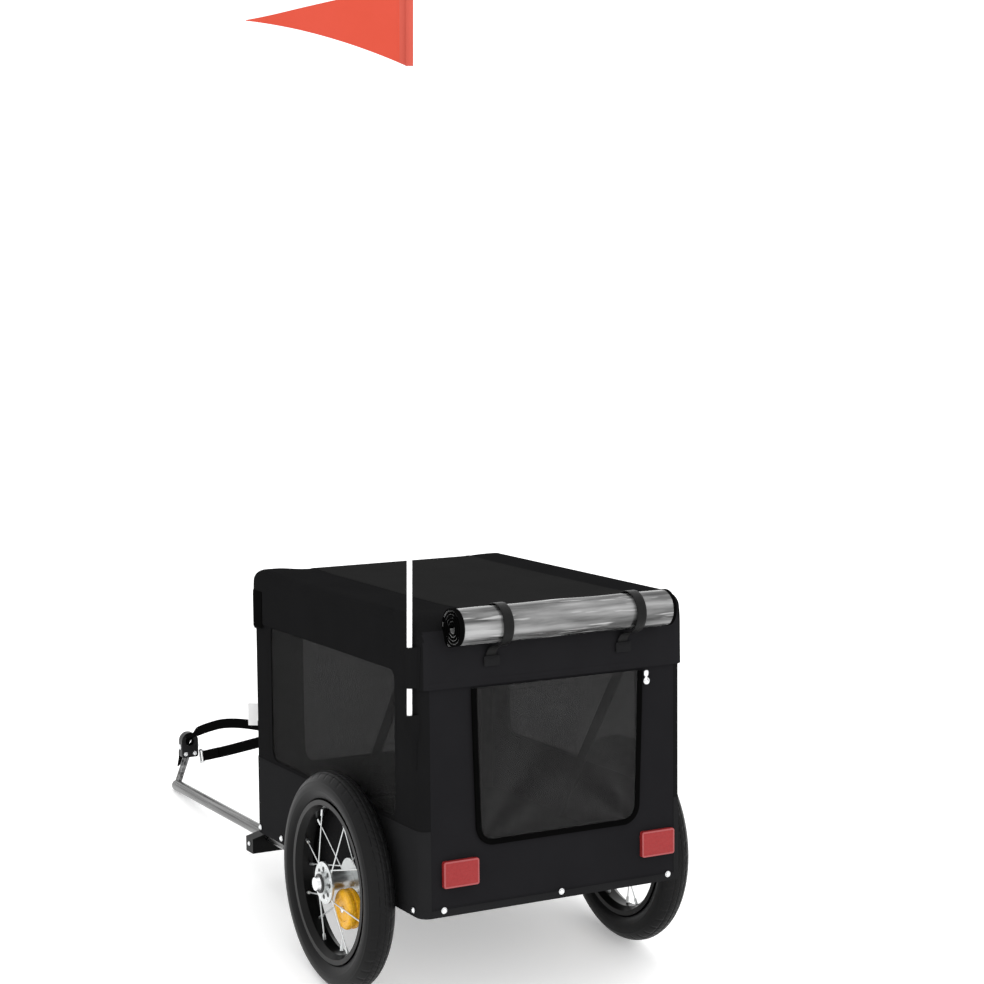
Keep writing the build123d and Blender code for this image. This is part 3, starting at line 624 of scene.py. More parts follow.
def stitches(path, out, pitch=3.6 * MM, length=2.5 * MM, width=0.5 * MM):
    """Thread stitches along a path: stretched eight-sided beads, one each pitch, lying on the cloth.

    out is the cloth's outward direction at each point of the path.
    """
    path, out = np.asarray(path, float), np.broadcast_to(out, np.shape(path)).astype(float)
    way = np.concatenate([[0], np.linalg.norm(np.diff(path, axis=0), axis=1).cumsum()])
    count = max(int(way[-1] / pitch), 1)
    at = (np.arange(count) + 0.5) * way[-1] / count
    mid = np.stack([np.interp(at, way, path[:, k]) for k in range(3)], 1)
    tip = np.stack([np.interp(at + length / 2, way, path[:, k]) for k in range(3)], 1) - mid
    lift = np.stack([np.interp(at, way, out[:, k]) for k in range(3)], 1)
    lift /= np.linalg.norm(lift, axis=1, keepdims=True)
    side = np.cross(tip, lift)
    side *= width / 2 / np.maximum(np.linalg.norm(side, axis=1, keepdims=True), 1e-9)
    high = lift * width / 2
    ring = np.stack([mid + side, mid + high, mid - side, mid - high, mid + side], 1)
    ends = [np.broadcast_to((mid + sign * tip)[:, None], ring.shape) for sign in (-1, 1)]
    beads = np.stack([ends[0], ring, ends[1]], 1)
    _, quads, uv = patch(beads[0])
    offsets = np.arange(count)[:, None, None] * 15
    return beads.reshape(-1, 3), (quads + offsets).reshape(-1, 4), np.tile(uv, (count, 1))


def sew(name, path, out, body="trailer"):
    """A seam of black thread as one piece."""
    piece(name, stitches(path, out), THREAD, body)


# ---- cabin walls ----
ARC = CORNER_R * math.pi / 2
FLAT_X = HALF_L - CORNER_R
FLAT_Y = HALF_W - CORNER_R
SEAM_Z = 258 * MM


def wrap(along, up, out, side):
    """A side wall's place: flat along the middle, then round both corners by the angle gone past the flat."""
    past = np.clip((np.abs(along) - FLAT_X) / CORNER_R, 0, math.pi / 2)
    reach = CORNER_R - CLOTH_T / 2 + out
    x = np.sign(along) * (np.minimum(np.abs(along), FLAT_X) + reach * np.sin(past))
    y = side * (HALF_W - CORNER_R + reach * np.cos(past))
    return grid_of(x, y, up)


def billow(along, up, seed):
    """How far a side wall's cloth stands out: soft waves, less at the floor, seam, corners and flap."""
    hold = ease((450 * MM - up) / (30 * MM)) * ease((up - FLOOR_Z) / (25 * MM))
    past_seam = 0.25 + 0.75 * ease(np.abs(up - SEAM_Z) / (16 * MM))
    hold = hold * ease((FLAT_X - np.abs(along)) / (30 * MM)) * past_seam
    return 0.6 * MM * hold * (1 + ripple(along, up, 0.13, seed))


def window_line(grow=0.0, run=24):
    """The window's rim, moved outwards by grow."""
    return outline(WINDOW_MID, WINDOW_SIZE + 2 * grow, WINDOW_R + grow, 10, run)


def make_side_wall(side):
    """Cloth round a net window: straight lines from the window's rim to the wall's edges."""
    tall, long = WALL_TOP - FLOOR_Z, 2 * (FLAT_X + ARC)
    edge = outline((0, (FLOOR_Z + WALL_TOP) / 2), (long, tall), 40 * MM, 10, 24, 1.0)
    flat = between(window_line(), edge, 28)
    along, up = flat[..., 0], flat[..., 1]
    near = ease(np.linspace(0, 1, 28)[:, None] * 5)
    out = billow(along, up, 4 + side) * near
    # the side walls take the darker copy of the black cloth: painted shade
    wall = piece(f"wall_{SIDES[side]}_cloth", patch(wrap(along, up, out, side), flat), "side_cloth",
                 stands_for=(f"wall_{SIDES[side]}",), thick=CLOTH_T)
    hole = WINDOW_SIZE.prod() * 0.995  # a box of the window's size, less its rounded corners


def make_lower_panel(side):
    """A second layer on the lower part of a side wall, round both corners, with a turned lower edge."""
    along = np.linspace(-(FLAT_X + ARC), FLAT_X + ARC, 200)[None, :]
    foot = np.linspace(FLOOR_Z, FLOOR_Z + 12 * MM, 6)
    up = np.concatenate([foot, np.linspace(foot[-1], SEAM_Z, 26)[1:]])[:, None]
    roll = 0.7 * MM * np.sin(math.pi * np.clip((up - FLOOR_Z) / (9 * MM), 0, 1))
    out = billow(along, up, 4 + side) + CLOTH_T / 2 + 0.3 * MM + roll
    shape = patch(wrap(along, up, out, side), grid_of(along, up))
    panel = piece(f"lower_panel_{SIDES[side]}", shape, "panel", thick=LAYER_T)
    for height in (SEAM_Z - 2.5 * MM, FLOOR_Z + 11 * MM):
        line = np.linspace(-(FLAT_X + 0.8 * ARC), FLAT_X + 0.8 * ARC, 260)
        rise = billow(line, height, 4 + side) + CLOTH_T / 2 + 0.8 * MM
        path = wrap(line, height, rise, side)
        out = path - wrap(line, height, rise - 1, side)
        sew(f"lower_seam_{SIDES[side]}_{round(height / MM)}", path, out)


def make_end_wall(end):
    """Cloth round a door opening, in the same way, with a turned lower edge."""
    mid, size = span(f"door_{ENDS[end]}")
    lap = 9 * MM
    wide, high_side = size[1] - 2 * lap, size[2] - lap - 1 * MM
    radii = [DOOR_R - lap, 4 * MM, 4 * MM, DOOR_R - lap]
    hole = outline(mid[1:] + (0, lap / 2 - 0.5 * MM), (wide, high_side), radii, 10, 24)
    tall, across = WALL_TOP - FLOOR_Z, 2 * FLAT_Y
    edge = outline((0, (FLOOR_Z + WALL_TOP) / 2), (across, tall), 40 * MM, 10, 24, 1.0)
    flat = between(hole, edge, 22)
    over, up = flat[..., 0], flat[..., 1]
    calm = np.clip(np.sin(math.pi * np.linspace(0, 1, 22)[:, None]) * 2, 0, 1)
    out = -0.5 * MM * calm * (1 + ripple(over, up, 0.12, 14 + end))
    x = end * (HALF_L - CLOTH_T / 2 + out)
    # the end walls take the lighter copy of the black cloth: painted light
    wall = piece(f"wall_{ENDS[end]}_cloth", patch(grid_of(x, over, up), flat), "cloth",
                 stands_for=(f"wall_{ENDS[end]}",), thick=CLOTH_T)
    over = np.linspace(-FLAT_Y, FLAT_Y, 60)[None, :]
    up = np.linspace(FLOOR_Z, FLOOR_Z + 10 * MM, 9)[:, None]
    x = end * (HALF_L + 0.2 * MM + 1.3 * MM * np.sin(math.pi * (up - FLOOR_Z) / (10 * MM)))
    piece(f"foot_hem_{ENDS[end]}", patch(grid_of(x, over, up)), "panel", thick=THIN_T)
    line = np.linspace(-FLAT_Y, FLAT_Y, 200)
    path = grid_of(end * HALF_L, line, FLOOR_Z + 12.5 * MM)
    sew(f"foot_seam_{ENDS[end]}", path, (end, 0, 0))


def make_window(side):
    """Net drawn tight in a rounded frame, with a folded binding along its rim and two seams in that."""
    flat = between(WINDOW_MID, window_line(), 40)
    x, z = flat[..., 0], flat[..., 1]
    inside = np.linspace(1, 0, 40)[:, None] ** 0.5
    y = side * (HALF_W - CLOTH_T / 2 - 0.2 * MM + 0.5 * MM * inside * ripple(x, z, 0.2, 21 + side))
    net = piece(f"window_{SIDES[side]}_net", patch(grid_of(x, y, z), flat), "net",
                stands_for=(f"window_{SIDES[side]}",), thick=THIN_T)
    wide = 7 * MM
    flat = between(window_line(-wide / 2), window_line(wide / 2), 5)
    crown = np.sin(math.pi * np.linspace(0, 1, 5))[:, None]
    y = side * (HALF_W - 0.3 * MM + 0.7 * MM * crown)
    # the binding takes the darker side copy of the cloth: painted shade
    piece(f"window_{SIDES[side]}_binding", patch(grid_of(flat[..., 0], y, flat[..., 1]), flat),
          "side_cloth", thick=0.7 * MM)
    for reach, word in ((-0.35, "in"), (0.35, "out")):
        line = window_line(wide * reach, 40)
        path = grid_of(line[:, 0], side * (HALF_W + 0.5 * MM), line[:, 1])
        sew(f"window_seam_{SIDES[side]}_{word}", path, (0, side, 0))


def door_rim(end, grow=0.0, corner=10, run=24):
    """A door's outline, drawn in at both sides towards its foot, as the cloth pulls it."""
    mid, size = span(f"door_{ENDS[end]}")
    radii = [DOOR_R + grow, 2 * MM, 2 * MM, DOOR_R + grow]
    rim = outline(mid[1:], size[1:] + 2 * grow, radii, corner, run)
    drawn = 6.5 * MM * ((mid[2] - rim[:, 1]) / size[2] + 0.5).clip(0, 1) ** 1.2
    rim[:, 0] -= drawn * np.clip((rim[:, 0] - mid[1]) / (size[1] / 2), -1, 1)
    return rim, mid, size


def make_door(end):
    """Net door with soft creases from its lower corners, and a black bound edge along its sides and foot,
    made deep black also as painted shade of the gap beside it.

    A crease is a cosine of the turn about its corner, which fades with the distance and off the diagonal.
    """
    rim, mid, size = door_rim(end)
    flat = between(mid[1:], rim, 44)
    y, z = flat[..., 0], flat[..., 1]
    inside = np.clip(np.linspace(1, 0, 44)[:, None] * 4, 0, 1)
    creases = 0
    for sign in (-1, 1):
        dy, dz = sign * (y - mid[1]) + size[1] / 2 - 8 * MM, z - mid[2] + size[2] / 2
        turn = np.arctan2(dz, dy)
        fade = np.exp(-np.hypot(dy, dz) / (80 * MM)) * np.exp(-(turn - 0.75) ** 2 * 3)
        creases = creases + np.cos((turn - 0.75) * 9) * fade
    out = inside * (2.6 * MM * creases + 0.6 * MM * ripple(y, z, 0.16, 31 + end))
    x = mid[0] + end * out
    body = f"{ENDS[end]}_door"
    # tone paints shade along the creases where the net stands out, and light where it sinks in
    net = piece(f"door_{ENDS[end]}_net", patch(grid_of(x, y, z), flat), "door_net", body,
                (f"door_{ENDS[end]}",), THIN_T, tone=-2.2 * inside * creases)
    corner, run = 12, 30
    line, _, _ = door_rim(end, -3.5 * MM, corner, run)
    # one side down, the foot with both its corners, and the other side up
    line = np.concatenate([line[2 * (corner + run) + corner:4 * (corner + run)], line[:corner + run]])
    path = grid_of(mid[0] + end * 0.4 * MM, line[:, 0], line[:, 1])
    path[[0, -1], 2] = mid[2] + size[2] / 2 - 0.3 * MM
    bound = outline((0, 0), (4.0 * MM, 8 * MM), 1.9 * MM, 5, 2)[:-1]
    # the binding is deep black webbing: a real binding, and painted shade of the gap beside it
    piece(f"door_{ENDS[end]}_bound_edge_and_shade", sweep(path, (1, 0, 0), bound), "webbing", body)
    inner, _, _ = door_rim(end, -7.5 * MM, 12, 40)
    seam = grid_of(mid[0] + end * 0.9 * MM, inner[:, 0], inner[:, 1])
    sew(f"door_{ENDS[end]}_seam", seam, (end, 0, 0), body)


def make_zip_pull(end):
    """A slider and its tab, hanging at the upper corner of a door."""
    _, mid, size = door_rim(end)
    top = np.array((mid[0] + end * 2.2 * MM, mid[1] + end * (size[1] / 2 + 4.8 * MM), mid[2] + size[2] / 2))
    out, right, up = np.array((end, 0.0, 0.0)), (0, 1.0 * end, 0), (0, 0, 1)
    domed = [(0, 0), (0, 1.2 * MM), (0.5 * MM, 2.0 * MM), (1.6 * MM, 2.6 * MM)]
    flat = [(0, 0.9 * MM), (0, 1.6 * MM), (0.5 * MM, 2.1 * MM)]
    body = plate(top - (0, 0, 5 * MM), (7.5 * MM, 9 * MM), 2.6 * MM, domed, right, up)
    neck = plate(top - (0, 0, 11.5 * MM), (3.4 * MM, 8 * MM), 1.2 * MM, flat, right, up)
    tab = plate(top - (0, 0, 17 * MM), (6.8 * MM, 7 * MM), 2.6 * MM, domed[:3], right, up)
    wire = wire_section(4.2 * MM, 0.8 * MM)
    loop = turned(top - (0, 0, 15.5 * MM) + out * 1.8 * MM, wire, out, 24)
    piece(f"zip_pull_{ENDS[end]}", join([body, neck, tab, loop]), "bright")


# ---- roof cover ----
BEND_X = COVER_L - COVER_BEND_R
EDGE_Y = COVER_W - COVER_EDGE_R


def dip(x, y):
    """The roof cloth's height from its flat place: it sags between the side rails and is a little uneven."""
    within = ease((180 * MM - np.abs(y)) / (46 * MM))
    along = ease((BEND_X - np.abs(x)) / (80 * MM))
    corner = ease((x - 110 * MM) / (120 * MM)) * ease((y - 120 * MM) / (60 * MM))
    sag = within * (-2.0 * MM - 1.8 * MM * along + 0.9 * MM * along * ripple(x, y, 0.17, 7))
    return 4.5 * MM + 2.5 * MM * corner + sag


def roof_place(along, y, out):
    """A place on the roof: flat, then round the front or rear edge by the angle gone past the flat."""
    past = np.clip((np.abs(along) - BEND_X) / COVER_BEND_R, 0, math.pi / 2)
    x = np.sign(along) * (np.minimum(np.abs(along), BEND_X) + (COVER_BEND_R + out) * np.sin(past))
    z = ROOF_Z - COVER_BEND_R + (COVER_BEND_R + out) * np.cos(past) + dip(x, y) * np.cos(past) ** 2
    return grid_of(x, y, z)


def cover_ring(turn, shrink=CLOTH_T / 2):
    """The cover's outline at an angle round its front and rear bends, and its height.

    Its half length is drawn in by 1 - cosine on the bends, and its half width likewise on the side edges.
    """
    up = ROOF_Z - COVER_BEND_R + (COVER_BEND_R - shrink) * math.sin(turn)
    in_x = (COVER_BEND_R - shrink) * (1 - math.cos(turn))
    edge = COVER_EDGE_R - shrink
    rise = np.clip((up - (ROOF_Z - COVER_EDGE_R)) / edge, 0, 1)
    in_y = edge * (1 - math.sqrt(1 - rise ** 2))
    size = (2 * (COVER_L - shrink - in_x), 2 * (COVER_W - shrink - in_y))
    return outline((0, 0), size, max(COVER_PLAN_R - shrink - in_x, 5 * MM), 10, 60), up


def hem_height(x):
    """The cover's hem: lower on the front and rear flaps and where they reach round onto the sides."""
    hem = np.full(np.shape(x), HEM_SIDE)
    for end in (-1, 1):
        start = COVER_L - HEM_WRAP[end] - 4 * MM
        hem += (HEM_END[end] - HEM_SIDE) * ease((end * x - start) / (9 * MM))
    return hem


def make_cover():
    """One sheet in rings: up from its hem, round its bends, then in to the middle of the roof."""
    foot, bend_z = cover_ring(0.0)
    hem = hem_height(foot[:, 0])
    sway = 0.8 * MM * ripple(np.arctan2(foot[:, 1], foot[:, 0]), 0.0, 0.5, 12)
    rows = []
    for share in np.linspace(0, 1, 9)[:-1]:
        wide = foot * (1 - (1 - share) ** 2 * sway[:, None] / HALF_W)
        rows.append(np.column_stack([wide, hem * (1 - share) + bend_z * share]))
    for turn in np.linspace(0, math.pi / 2, 20):
        ring, up = cover_ring(turn)
        rows.append(np.column_stack([ring, up + dip(ring[:, 0], ring[:, 1]) * math.sin(turn) ** 2]))
    rows = np.array(rows)
    way = np.concatenate([[0], np.linalg.norm(np.diff(foot, axis=0), axis=1).cumsum()])
    down = np.concatenate([np.zeros((1, len(foot))), np.linalg.norm(np.diff(rows, axis=0), axis=2).cumsum(0)])
    sides = patch(rows, grid_of(way, down))
    share = np.concatenate([np.linspace(1, 0.6, 20)[:-1], np.linspace(0.6, 0, 14)])[:, None, None]
    top = rows[-1][None, :, :2] * share
    x, y = top[..., 0], top[..., 1]
    roof = patch(grid_of(x, y, ROOF_Z - CLOTH_T / 2 + dip(x, y)), top)
    shape = join([sides, roof])
    centre = shape[0][shape[1]].mean(1)
    # the end flaps' faces take the lighter copy of the cloth and the rest the darker one: painted light and
    # shade on one sheet
    lit_end_faces = (np.abs(centre[:, 0]) > COVER_L - 8 * MM) & (np.abs(centre[:, 1]) < EDGE_Y)
    cover = piece("roof_cover_cloth", shape, ["roof_edge", "cover"], stands_for=("roof_cover",),
                  thick=CLOTH_T, zones=lit_end_faces.astype(int))
    ring, _ = cover_ring(0.0, -0.2 * MM)
    for height in (3 * MM, 9 * MM):
        path = np.column_stack([ring, hem_height(ring[:, 0]) + height])
        out = np.column_stack([ring, 0 * ring[:, 0]])
        sew(f"cover_seam_{round(height / MM)}", path, out)


def make_roof_panel():
    """A panel laid on the roof between the side rails and over both bends, with its seams; its lighter colour
    is painted light from above.
    """
    rear, front, right, left = -263 * MM, 256 * MM, -150 * MM, 119 * MM
    along, y = np.linspace(rear, front, 110)[:, None], np.linspace(right, left, 60)[None, :]
    shape = patch(roof_place(along, y, 0.2 * MM), grid_of(along, y))
    panel = piece("roof_panel", shape, "roof_panel", thick=THIN_T)
    line = np.linspace(rear, front, 200)
    for y, word in ((right, "right"), (left, "left")):
        inset = math.copysign(3 * MM, -y)
        sew_roof(word, line, y + inset)
    line = np.linspace(right, left, 100)
    for along, word in ((rear + 3 * MM, "rear"), (front - 3 * MM, "front")):
        sew_roof(word, along, line)


def sew_roof(word, along, y):
    """A seam of the roof panel; it lies across the line between two heights over the roof."""
    path = roof_place(along, y, 0.65 * MM)
    out = path - roof_place(along, y, -1)
    sew(f"roof_seam_{word}", path, out)


# ---- rolled clear cover and its straps ----
def off_cover(x, z, gap):
    """Places moved out of the cover: straight back, or higher up away from its bend's middle."""
    low = z < ROOF_Z - COVER_BEND_R
    dx, dz = x + BEND_X, z - (ROOF_Z - COVER_BEND_R)
    far = np.hypot(dx, dz)
    grow = np.maximum(1, (COVER_BEND_R + gap) / np.maximum(far, 1e-6))
    bent_x, bent_z = -BEND_X + dx * grow, ROOF_Z - COVER_BEND_R + dz * grow
    return np.where(low, np.minimum(x, -(COVER_L + gap)), bent_x), np.where(low, z, bent_z)


ROLL_LOW, ROLL_HIGH = level_box("rain_cover_roll")
ROLL_R = (ROLL_HIGH[2] - ROLL_LOW[2]) / 2
ROLL_X, ROLL_Z = ROLL_LOW[0] + ROLL_R, ROLL_LOW[2] + ROLL_R
ROLL_TURNS = 4.6
BAND_YS = (97 * MM, -107.5 * MM)
BAND_TAIL = ((-291.5, 1.5, 498.5), (-285.5, 3, 493.5), (-282.2, 4, 486.5), (-281.8, 4.5, 477))


def roll_grid(y, grow, rough):
    """A spiral whose radius grows evenly with the turn; grow is added and rough is its unevenness."""
    turn = np.linspace(0, ROLL_TURNS * 2 * math.pi, 220)[None, :]
    share = turn / turn[0, -1]
    reach = 6 * MM + (ROLL_R - 6.2 * MM) * share + grow
    pinch = sum(np.exp(-((y - band) / (16 * MM)) ** 2) for band in BAND_YS)
    slack = rough * (1 + ripple(reach * turn, y * 0.3, 0.035, 51)) * (1 - 0.6 * pinch) + 0.5 * MM * pinch
    reach = reach - slack * ease(share * 3 - 2)
    angle = turn - turn[0, -1] + math.radians(250)
    x, z = off_cover(ROLL_X - reach * np.cos(angle), ROLL_Z + reach * np.sin(angle), 0.8 * MM)
    return grid_of(x, y, z)


def make_roll():
    """Clear film rolled up, with a black tape bound round the film's edge at either end."""
    low, high = ROLL_LOW[1], ROLL_HIGH[1]
    y = np.linspace(low + 0.4 * MM, high - 0.4 * MM, 90)[:, None]
    film = piece("clear_roll_film", patch(roll_grid(y, 0, 0.8 * MM)), "film",
                 thick=FILM_T, stands_for=("rain_cover_roll",))
    for word, near, far in (("left", high - 7 * MM, high), ("right", low, low + 4.5 * MM)):
        y = np.linspace(near, far, 5)[:, None]
        piece(f"roll_tape_{word}", patch(roll_grid(y, -0.3 * MM, 0)), "webbing", thick=1.5 * MM)
    y = np.linspace(high - 24 * MM, high - 1.2 * MM, 8)[:, None]
    inner = roll_grid(y, -2.4 * MM, 0.3 * MM)[:, 20:]
    film = piece("clear_roll_inner_layer", patch(inner), "film", thick=FILM_T)


def make_roll_band(y, word):
    """A strap round the roll, down to a tab on the rear flap, on a smooth path."""
    turn = np.radians(np.linspace(-50, 262, 70))
    reach = ROLL_R + 0.1 * MM
    x, z = off_cover(ROLL_X + reach * np.cos(turn), ROLL_Z + reach * np.sin(turn), 0.9 * MM)
    loop = grid_of(x, y, z)
    tail = smooth([loop[-1], *(np.array(BAND_TAIL) * MM + (0, y, 0))], 24)
    path = np.concatenate([loop, tail[1:]])
    band = sweep(path, (0, 1, 0), strap_section(15 * MM, 1.3 * MM))
    tab_at = np.array((-281.6, 2.5, 478.5)) * MM + (0, y, 0)
    steps = [(0, 0.2 * MM), (0, 2.2 * MM), (0.8 * MM, 2.8 * MM)]
    tab = plate(tab_at, (24 * MM, 14 * MM), 2 * MM, steps, (0, -1, 0), (0, 0, 1))
    zones = np.repeat((0, 1), (len(band[1]), len(tab[1])))
    piece(f"roll_band_{word}", join([band, tab]), ["band", "panel"],
          stands_for=("roll_straps",), zones=zones)


# ---- wheels ----
SECTION_R = 21 * MM
BEAD_R, BEAD_Y = 105.5 * MM, 11.5 * MM
SHOULDER, SIDEWALL = 60, 146
RIBS = ((66, 2.2, 1), (100, 1.6, 0.7), (134, 2.5, 0.9))
CUTS = 46


def hump(angle, at, width):
    """1 at an angle, and less away from it, as the exponential of the square."""
    return np.exp(-((angle - at) / width) ** 2)


def make_tyre(side):
    """A tyre turned from a round section: ribs on its sidewalls, and grooves and fine cuts across its tread.

    A cut is where the cosine of the way round, shifted with the way across, is near 1. Angles are in
    degrees round the section from the middle of the tread. RIBS holds each rib's angle, width and height.
    """
    walls, tread = np.linspace(SHOULDER, SIDEWALL, 30), SHOULDER - 2
    angle = np.concatenate([-walls[::-1], np.linspace(-tread, tread, 53), walls])
    turn = np.radians(angle)
    profile = np.stack([WHEEL_R - SECTION_R + SECTION_R * np.cos(turn), SECTION_R * np.sin(turn)], 1)
    profile = np.concatenate([[(BEAD_R, -BEAD_Y)], profile, [(BEAD_R, BEAD_Y)]])
    angle = np.concatenate([[-SIDEWALL - 4], angle, [SIDEWALL + 4]])[:, None]
    off = np.abs(angle)
    steps = 540
    way = np.linspace(0, 2 * math.pi, steps + 1)[None, :]
    lean = angle / SHOULDER * 0.05
    cut = ease(0.5 + 3 * (np.cos(CUTS * (way + lean)) - 0.9)) * ease((off - 14) / 4)
    fine = ease(0.5 + 3 * (np.cos(2 * CUTS * (way - 2 * lean) + 0.8) - 0.93)) * ease((20 - off) / 4)
    groove = hump(off, 22, 2.2) + 0.8 * hump(angle, 0, 1.8)
    depth = -1.1 * MM * ease((56 - off) / 6) * np.clip(cut + fine + groove, 0, 1)
    depth = depth * np.clip(np.cos(np.radians(angle)), 0.3, 1)
    rib = 0.5 * MM * sum(high * hump(off, at, width) for at, width, high in RIBS)
    rows = profile + rib * np.concatenate([np.cos(np.radians(angle)), np.sin(np.radians(angle))], 1)
    rows, depth = (np.concatenate([part, part[:1]]) for part in (rows, depth))
    piece(f"tyre_{SIDES[side]}_tread", turned(wheel_middle(side), rows, (0, 1, 0), steps, depth), "tyre",
          f"wheel_{SIDES[side]}", (f"tyre_{SIDES[side]}",), crease=60)


def make_wheel_marker(side):
    """Two thick amber lenses with a groove between them; their rims are faceted by the cosine of the turn."""
    centre, size = span(f"wheel_reflector_{SIDES[side]}")
    radius, half, _ = size / 2
    body = f"wheel_{SIDES[side]}"
    outer = np.array([(0, 0.8), (0.55, 0.82), (0.62, 1), (0.86, 1), (0.95, 0.86), (1, 0.62), (1, 0.26),
                      (0.93, 0.16)])
    profile = np.concatenate([outer * (1, -1), [(0.9, 0)], outer[::-1]]) * (radius, half)
    steps = 144
    way = np.linspace(0, 2 * math.pi, steps + 1)[None, :]
    rim = profile[:, :1] > 0.92 * radius
    grow = -0.5 * MM * rim * (0.5 + 0.5 * np.cos(36 * way))
    lens = turned(centre, profile, (0, 1, 0), steps, grow)
    piece(f"wheel_marker_{SIDES[side]}", lens, "amber", body,
          (f"wheel_reflector_{SIDES[side]}",), crease=25)
    screw = np.array([(0, 0.7 * half), (4.5 * MM, 0.7 * half), (4.5 * MM, half), (3.5 * MM, half + 1 * MM),
                      (0, half + 1.4 * MM)])
    heads = [turned(centre, screw * (1, sign), (0, 1, 0), 20) for sign in (-1, 1)]
    piece(f"marker_screw_{SIDES[side]}", join(heads), "bright", body)


def make_hub_details(side):
    """Round holes in both flanges painted as dark shallow cups, painted shade in place of the holes, spoke
    heads between them, and a ringed axle cap.

    kinds holds each kind's list and profile, its distance from the axle, its first turn and its steps.
    """
    centre = wheel_middle(side)
    out = np.array((0.0, side, 0.0))
    hole_shades, heads = [], []
    dish = np.array([(0, 0.05), (2.6, 0.05), (3.1, 0.3), (3.5, 0.1), (3.5, -0.2), (0, -0.2)]) * MM
    head = np.array([(0, -0.3), (2.0, -0.2), (2.0, 0.5), (1.2, 1.0), (0, 1.2)]) * MM
    kinds = ((hole_shades, dish, 19.5 * MM, 0, 14), (heads, head, 24.5 * MM, 0.39, 10))
    for face in (-21.5 * MM, 21.5 * MM):
        way = np.sign(face) * out
        for k in range(8):
            for parts, profile, reach, shift, count in kinds:
                turn = 2 * math.pi * k / 8 + shift
                at = centre + reach * np.array((math.cos(turn), 0, math.sin(turn))) + out * face
                parts.append(turned(at, profile, way, count))
    body = f"wheel_{SIDES[side]}"
    # dark cups in place of the flange holes: painted shade
    piece(f"flange_hole_shades_{SIDES[side]}", join(hole_shades), "dark", body)
    piece(f"spoke_heads_{SIDES[side]}", join(heads), "bright", body)
    ring = np.array([(8, 26), (13.5, 26), (13.5, 28.5), (12, 29.5), (8, 29.5), (8, 26)]) * MM
    piece(f"hub_seal_{SIDES[side]}", turned(centre, ring, out, 48), "dark", body)


# ---- fittings ----
def domes(name, spots, ways, radius):
    """Round-headed bolts: a quarter of an ellipse turned to a dome, over a washer."""
    bend = np.radians(np.linspace(90, 0, 7))
    cap = [(radius * 0.8 * math.sin(b), radius * 0.25 + radius * 0.5 * math.cos(b)) for b in bend]
    washer = [(0, -0.5 * MM), (radius, -0.5 * MM), (radius, radius * 0.18), (radius * 0.92, radius * 0.25)]
    profile = washer + cap
    heads = [turned(at, profile, way, 24) for at, way in zip(spots, ways)]
    piece(name, join(heads), "bright")


def make_bolts():
    """Bright bolts along the lower edge of the cabin, on all four sides."""
    z = 150 * MM
    ends = [(end * (HALF_L + 1.2 * MM), y * MM, z) for end in (-1, 1) for y in (172, -8, -180)]
    sides = [(x * MM, side * (HALF_W + 1.9 * MM), z) for side in (-1, 1) for x in (-255, 179, 258)]
    domes("cabin_bolts_ends", ends, [(np.sign(p[0]), 0, 0) for p in ends], 4.3 * MM)
    domes("cabin_bolts_sides", sides, [(0, np.sign(p[1]), 0) for p in sides], 4.3 * MM)


def make_reflector_rim(word):
    """A plain raised rim round a red reflector."""
    mid, size = span(f"reflector_{word}")
    line = outline(mid[1:], size[1:] - 2.6 * MM, 2 * MM, 5, 3)
    path = grid_of(mid[0] - size[0] / 2 + 0.2 * MM, line[:, 0], line[:, 1])
    bead = outline((0, 0), (2.4 * MM, 1.4 * MM), 0.6 * MM, 4, 1)[:-1]
    across = np.cross(np.gradient(path, axis=0), (1, 0, 0)) / MM
    piece(f"reflector_rim_{word}", sweep(path, across, bead), "red_plain")


POLE_LEAN = math.radians(1.53)
POLE_UP = np.array((-math.sin(POLE_LEAN), 0, math.cos(POLE_LEAN)))
POLE_FOOT = np.array((-264.5, 213.1, 400)) * MM
POLE_R = 3.5 * MM


def make_pole_sleeves():
    """Cloth tubes sewn to the flap and the wall: a loop round the pole, whose wings lie flat on the cloth.

    The lower one is longer and flattens below the pole's foot. Both follow the cabin's rounded corner.
    """
    kinds = (("pole_sleeve", 450, 504, COVER_W, COVER_L), ("pole_pocket", 340, 414, HALF_W, HALF_L))
    for node, low, high, wall, flat_x in kinds:
        up = np.linspace(low, high, 24)[:, None] * MM
        turn = np.linspace(-1, 1, 61)[None, :]
        full = ease((up - 372 * MM) / (26 * MM))
        bend = np.clip(turn / 0.6, -1, 1) * math.pi / 2
        wing = np.clip((np.abs(turn) - 0.6) / 0.4, 0, 1)
        reach = (POLE_R + 1.0 * MM) * (0.6 + 0.4 * full)
        centre = POLE_FOOT[0] - (up - POLE_FOOT[2]) * math.tan(POLE_LEAN)
        x = centre + reach * np.sin(bend) + np.sign(turn) * wing * 4 * MM
        past = np.clip(-x - (flat_x - COVER_PLAN_R), 0, COVER_PLAN_R - 1 * MM)
        ground = wall + 0.5 * MM - (COVER_PLAN_R - np.sqrt(COVER_PLAN_R ** 2 - past ** 2))
        crown = POLE_FOOT[1] + reach * np.cos(bend) - ground
        y = ground + crown * (0.12 + 0.88 * full) * (1 - ease((np.abs(turn) - 0.5) / 0.2))
        # the sleeves take the darker copy of the cover cloth: painted shade
        sleeve = piece(f"{node}_cloth", patch(grid_of(x, y, up)), "roof_edge",
                       stands_for=(node,), thick=LAYER_T)


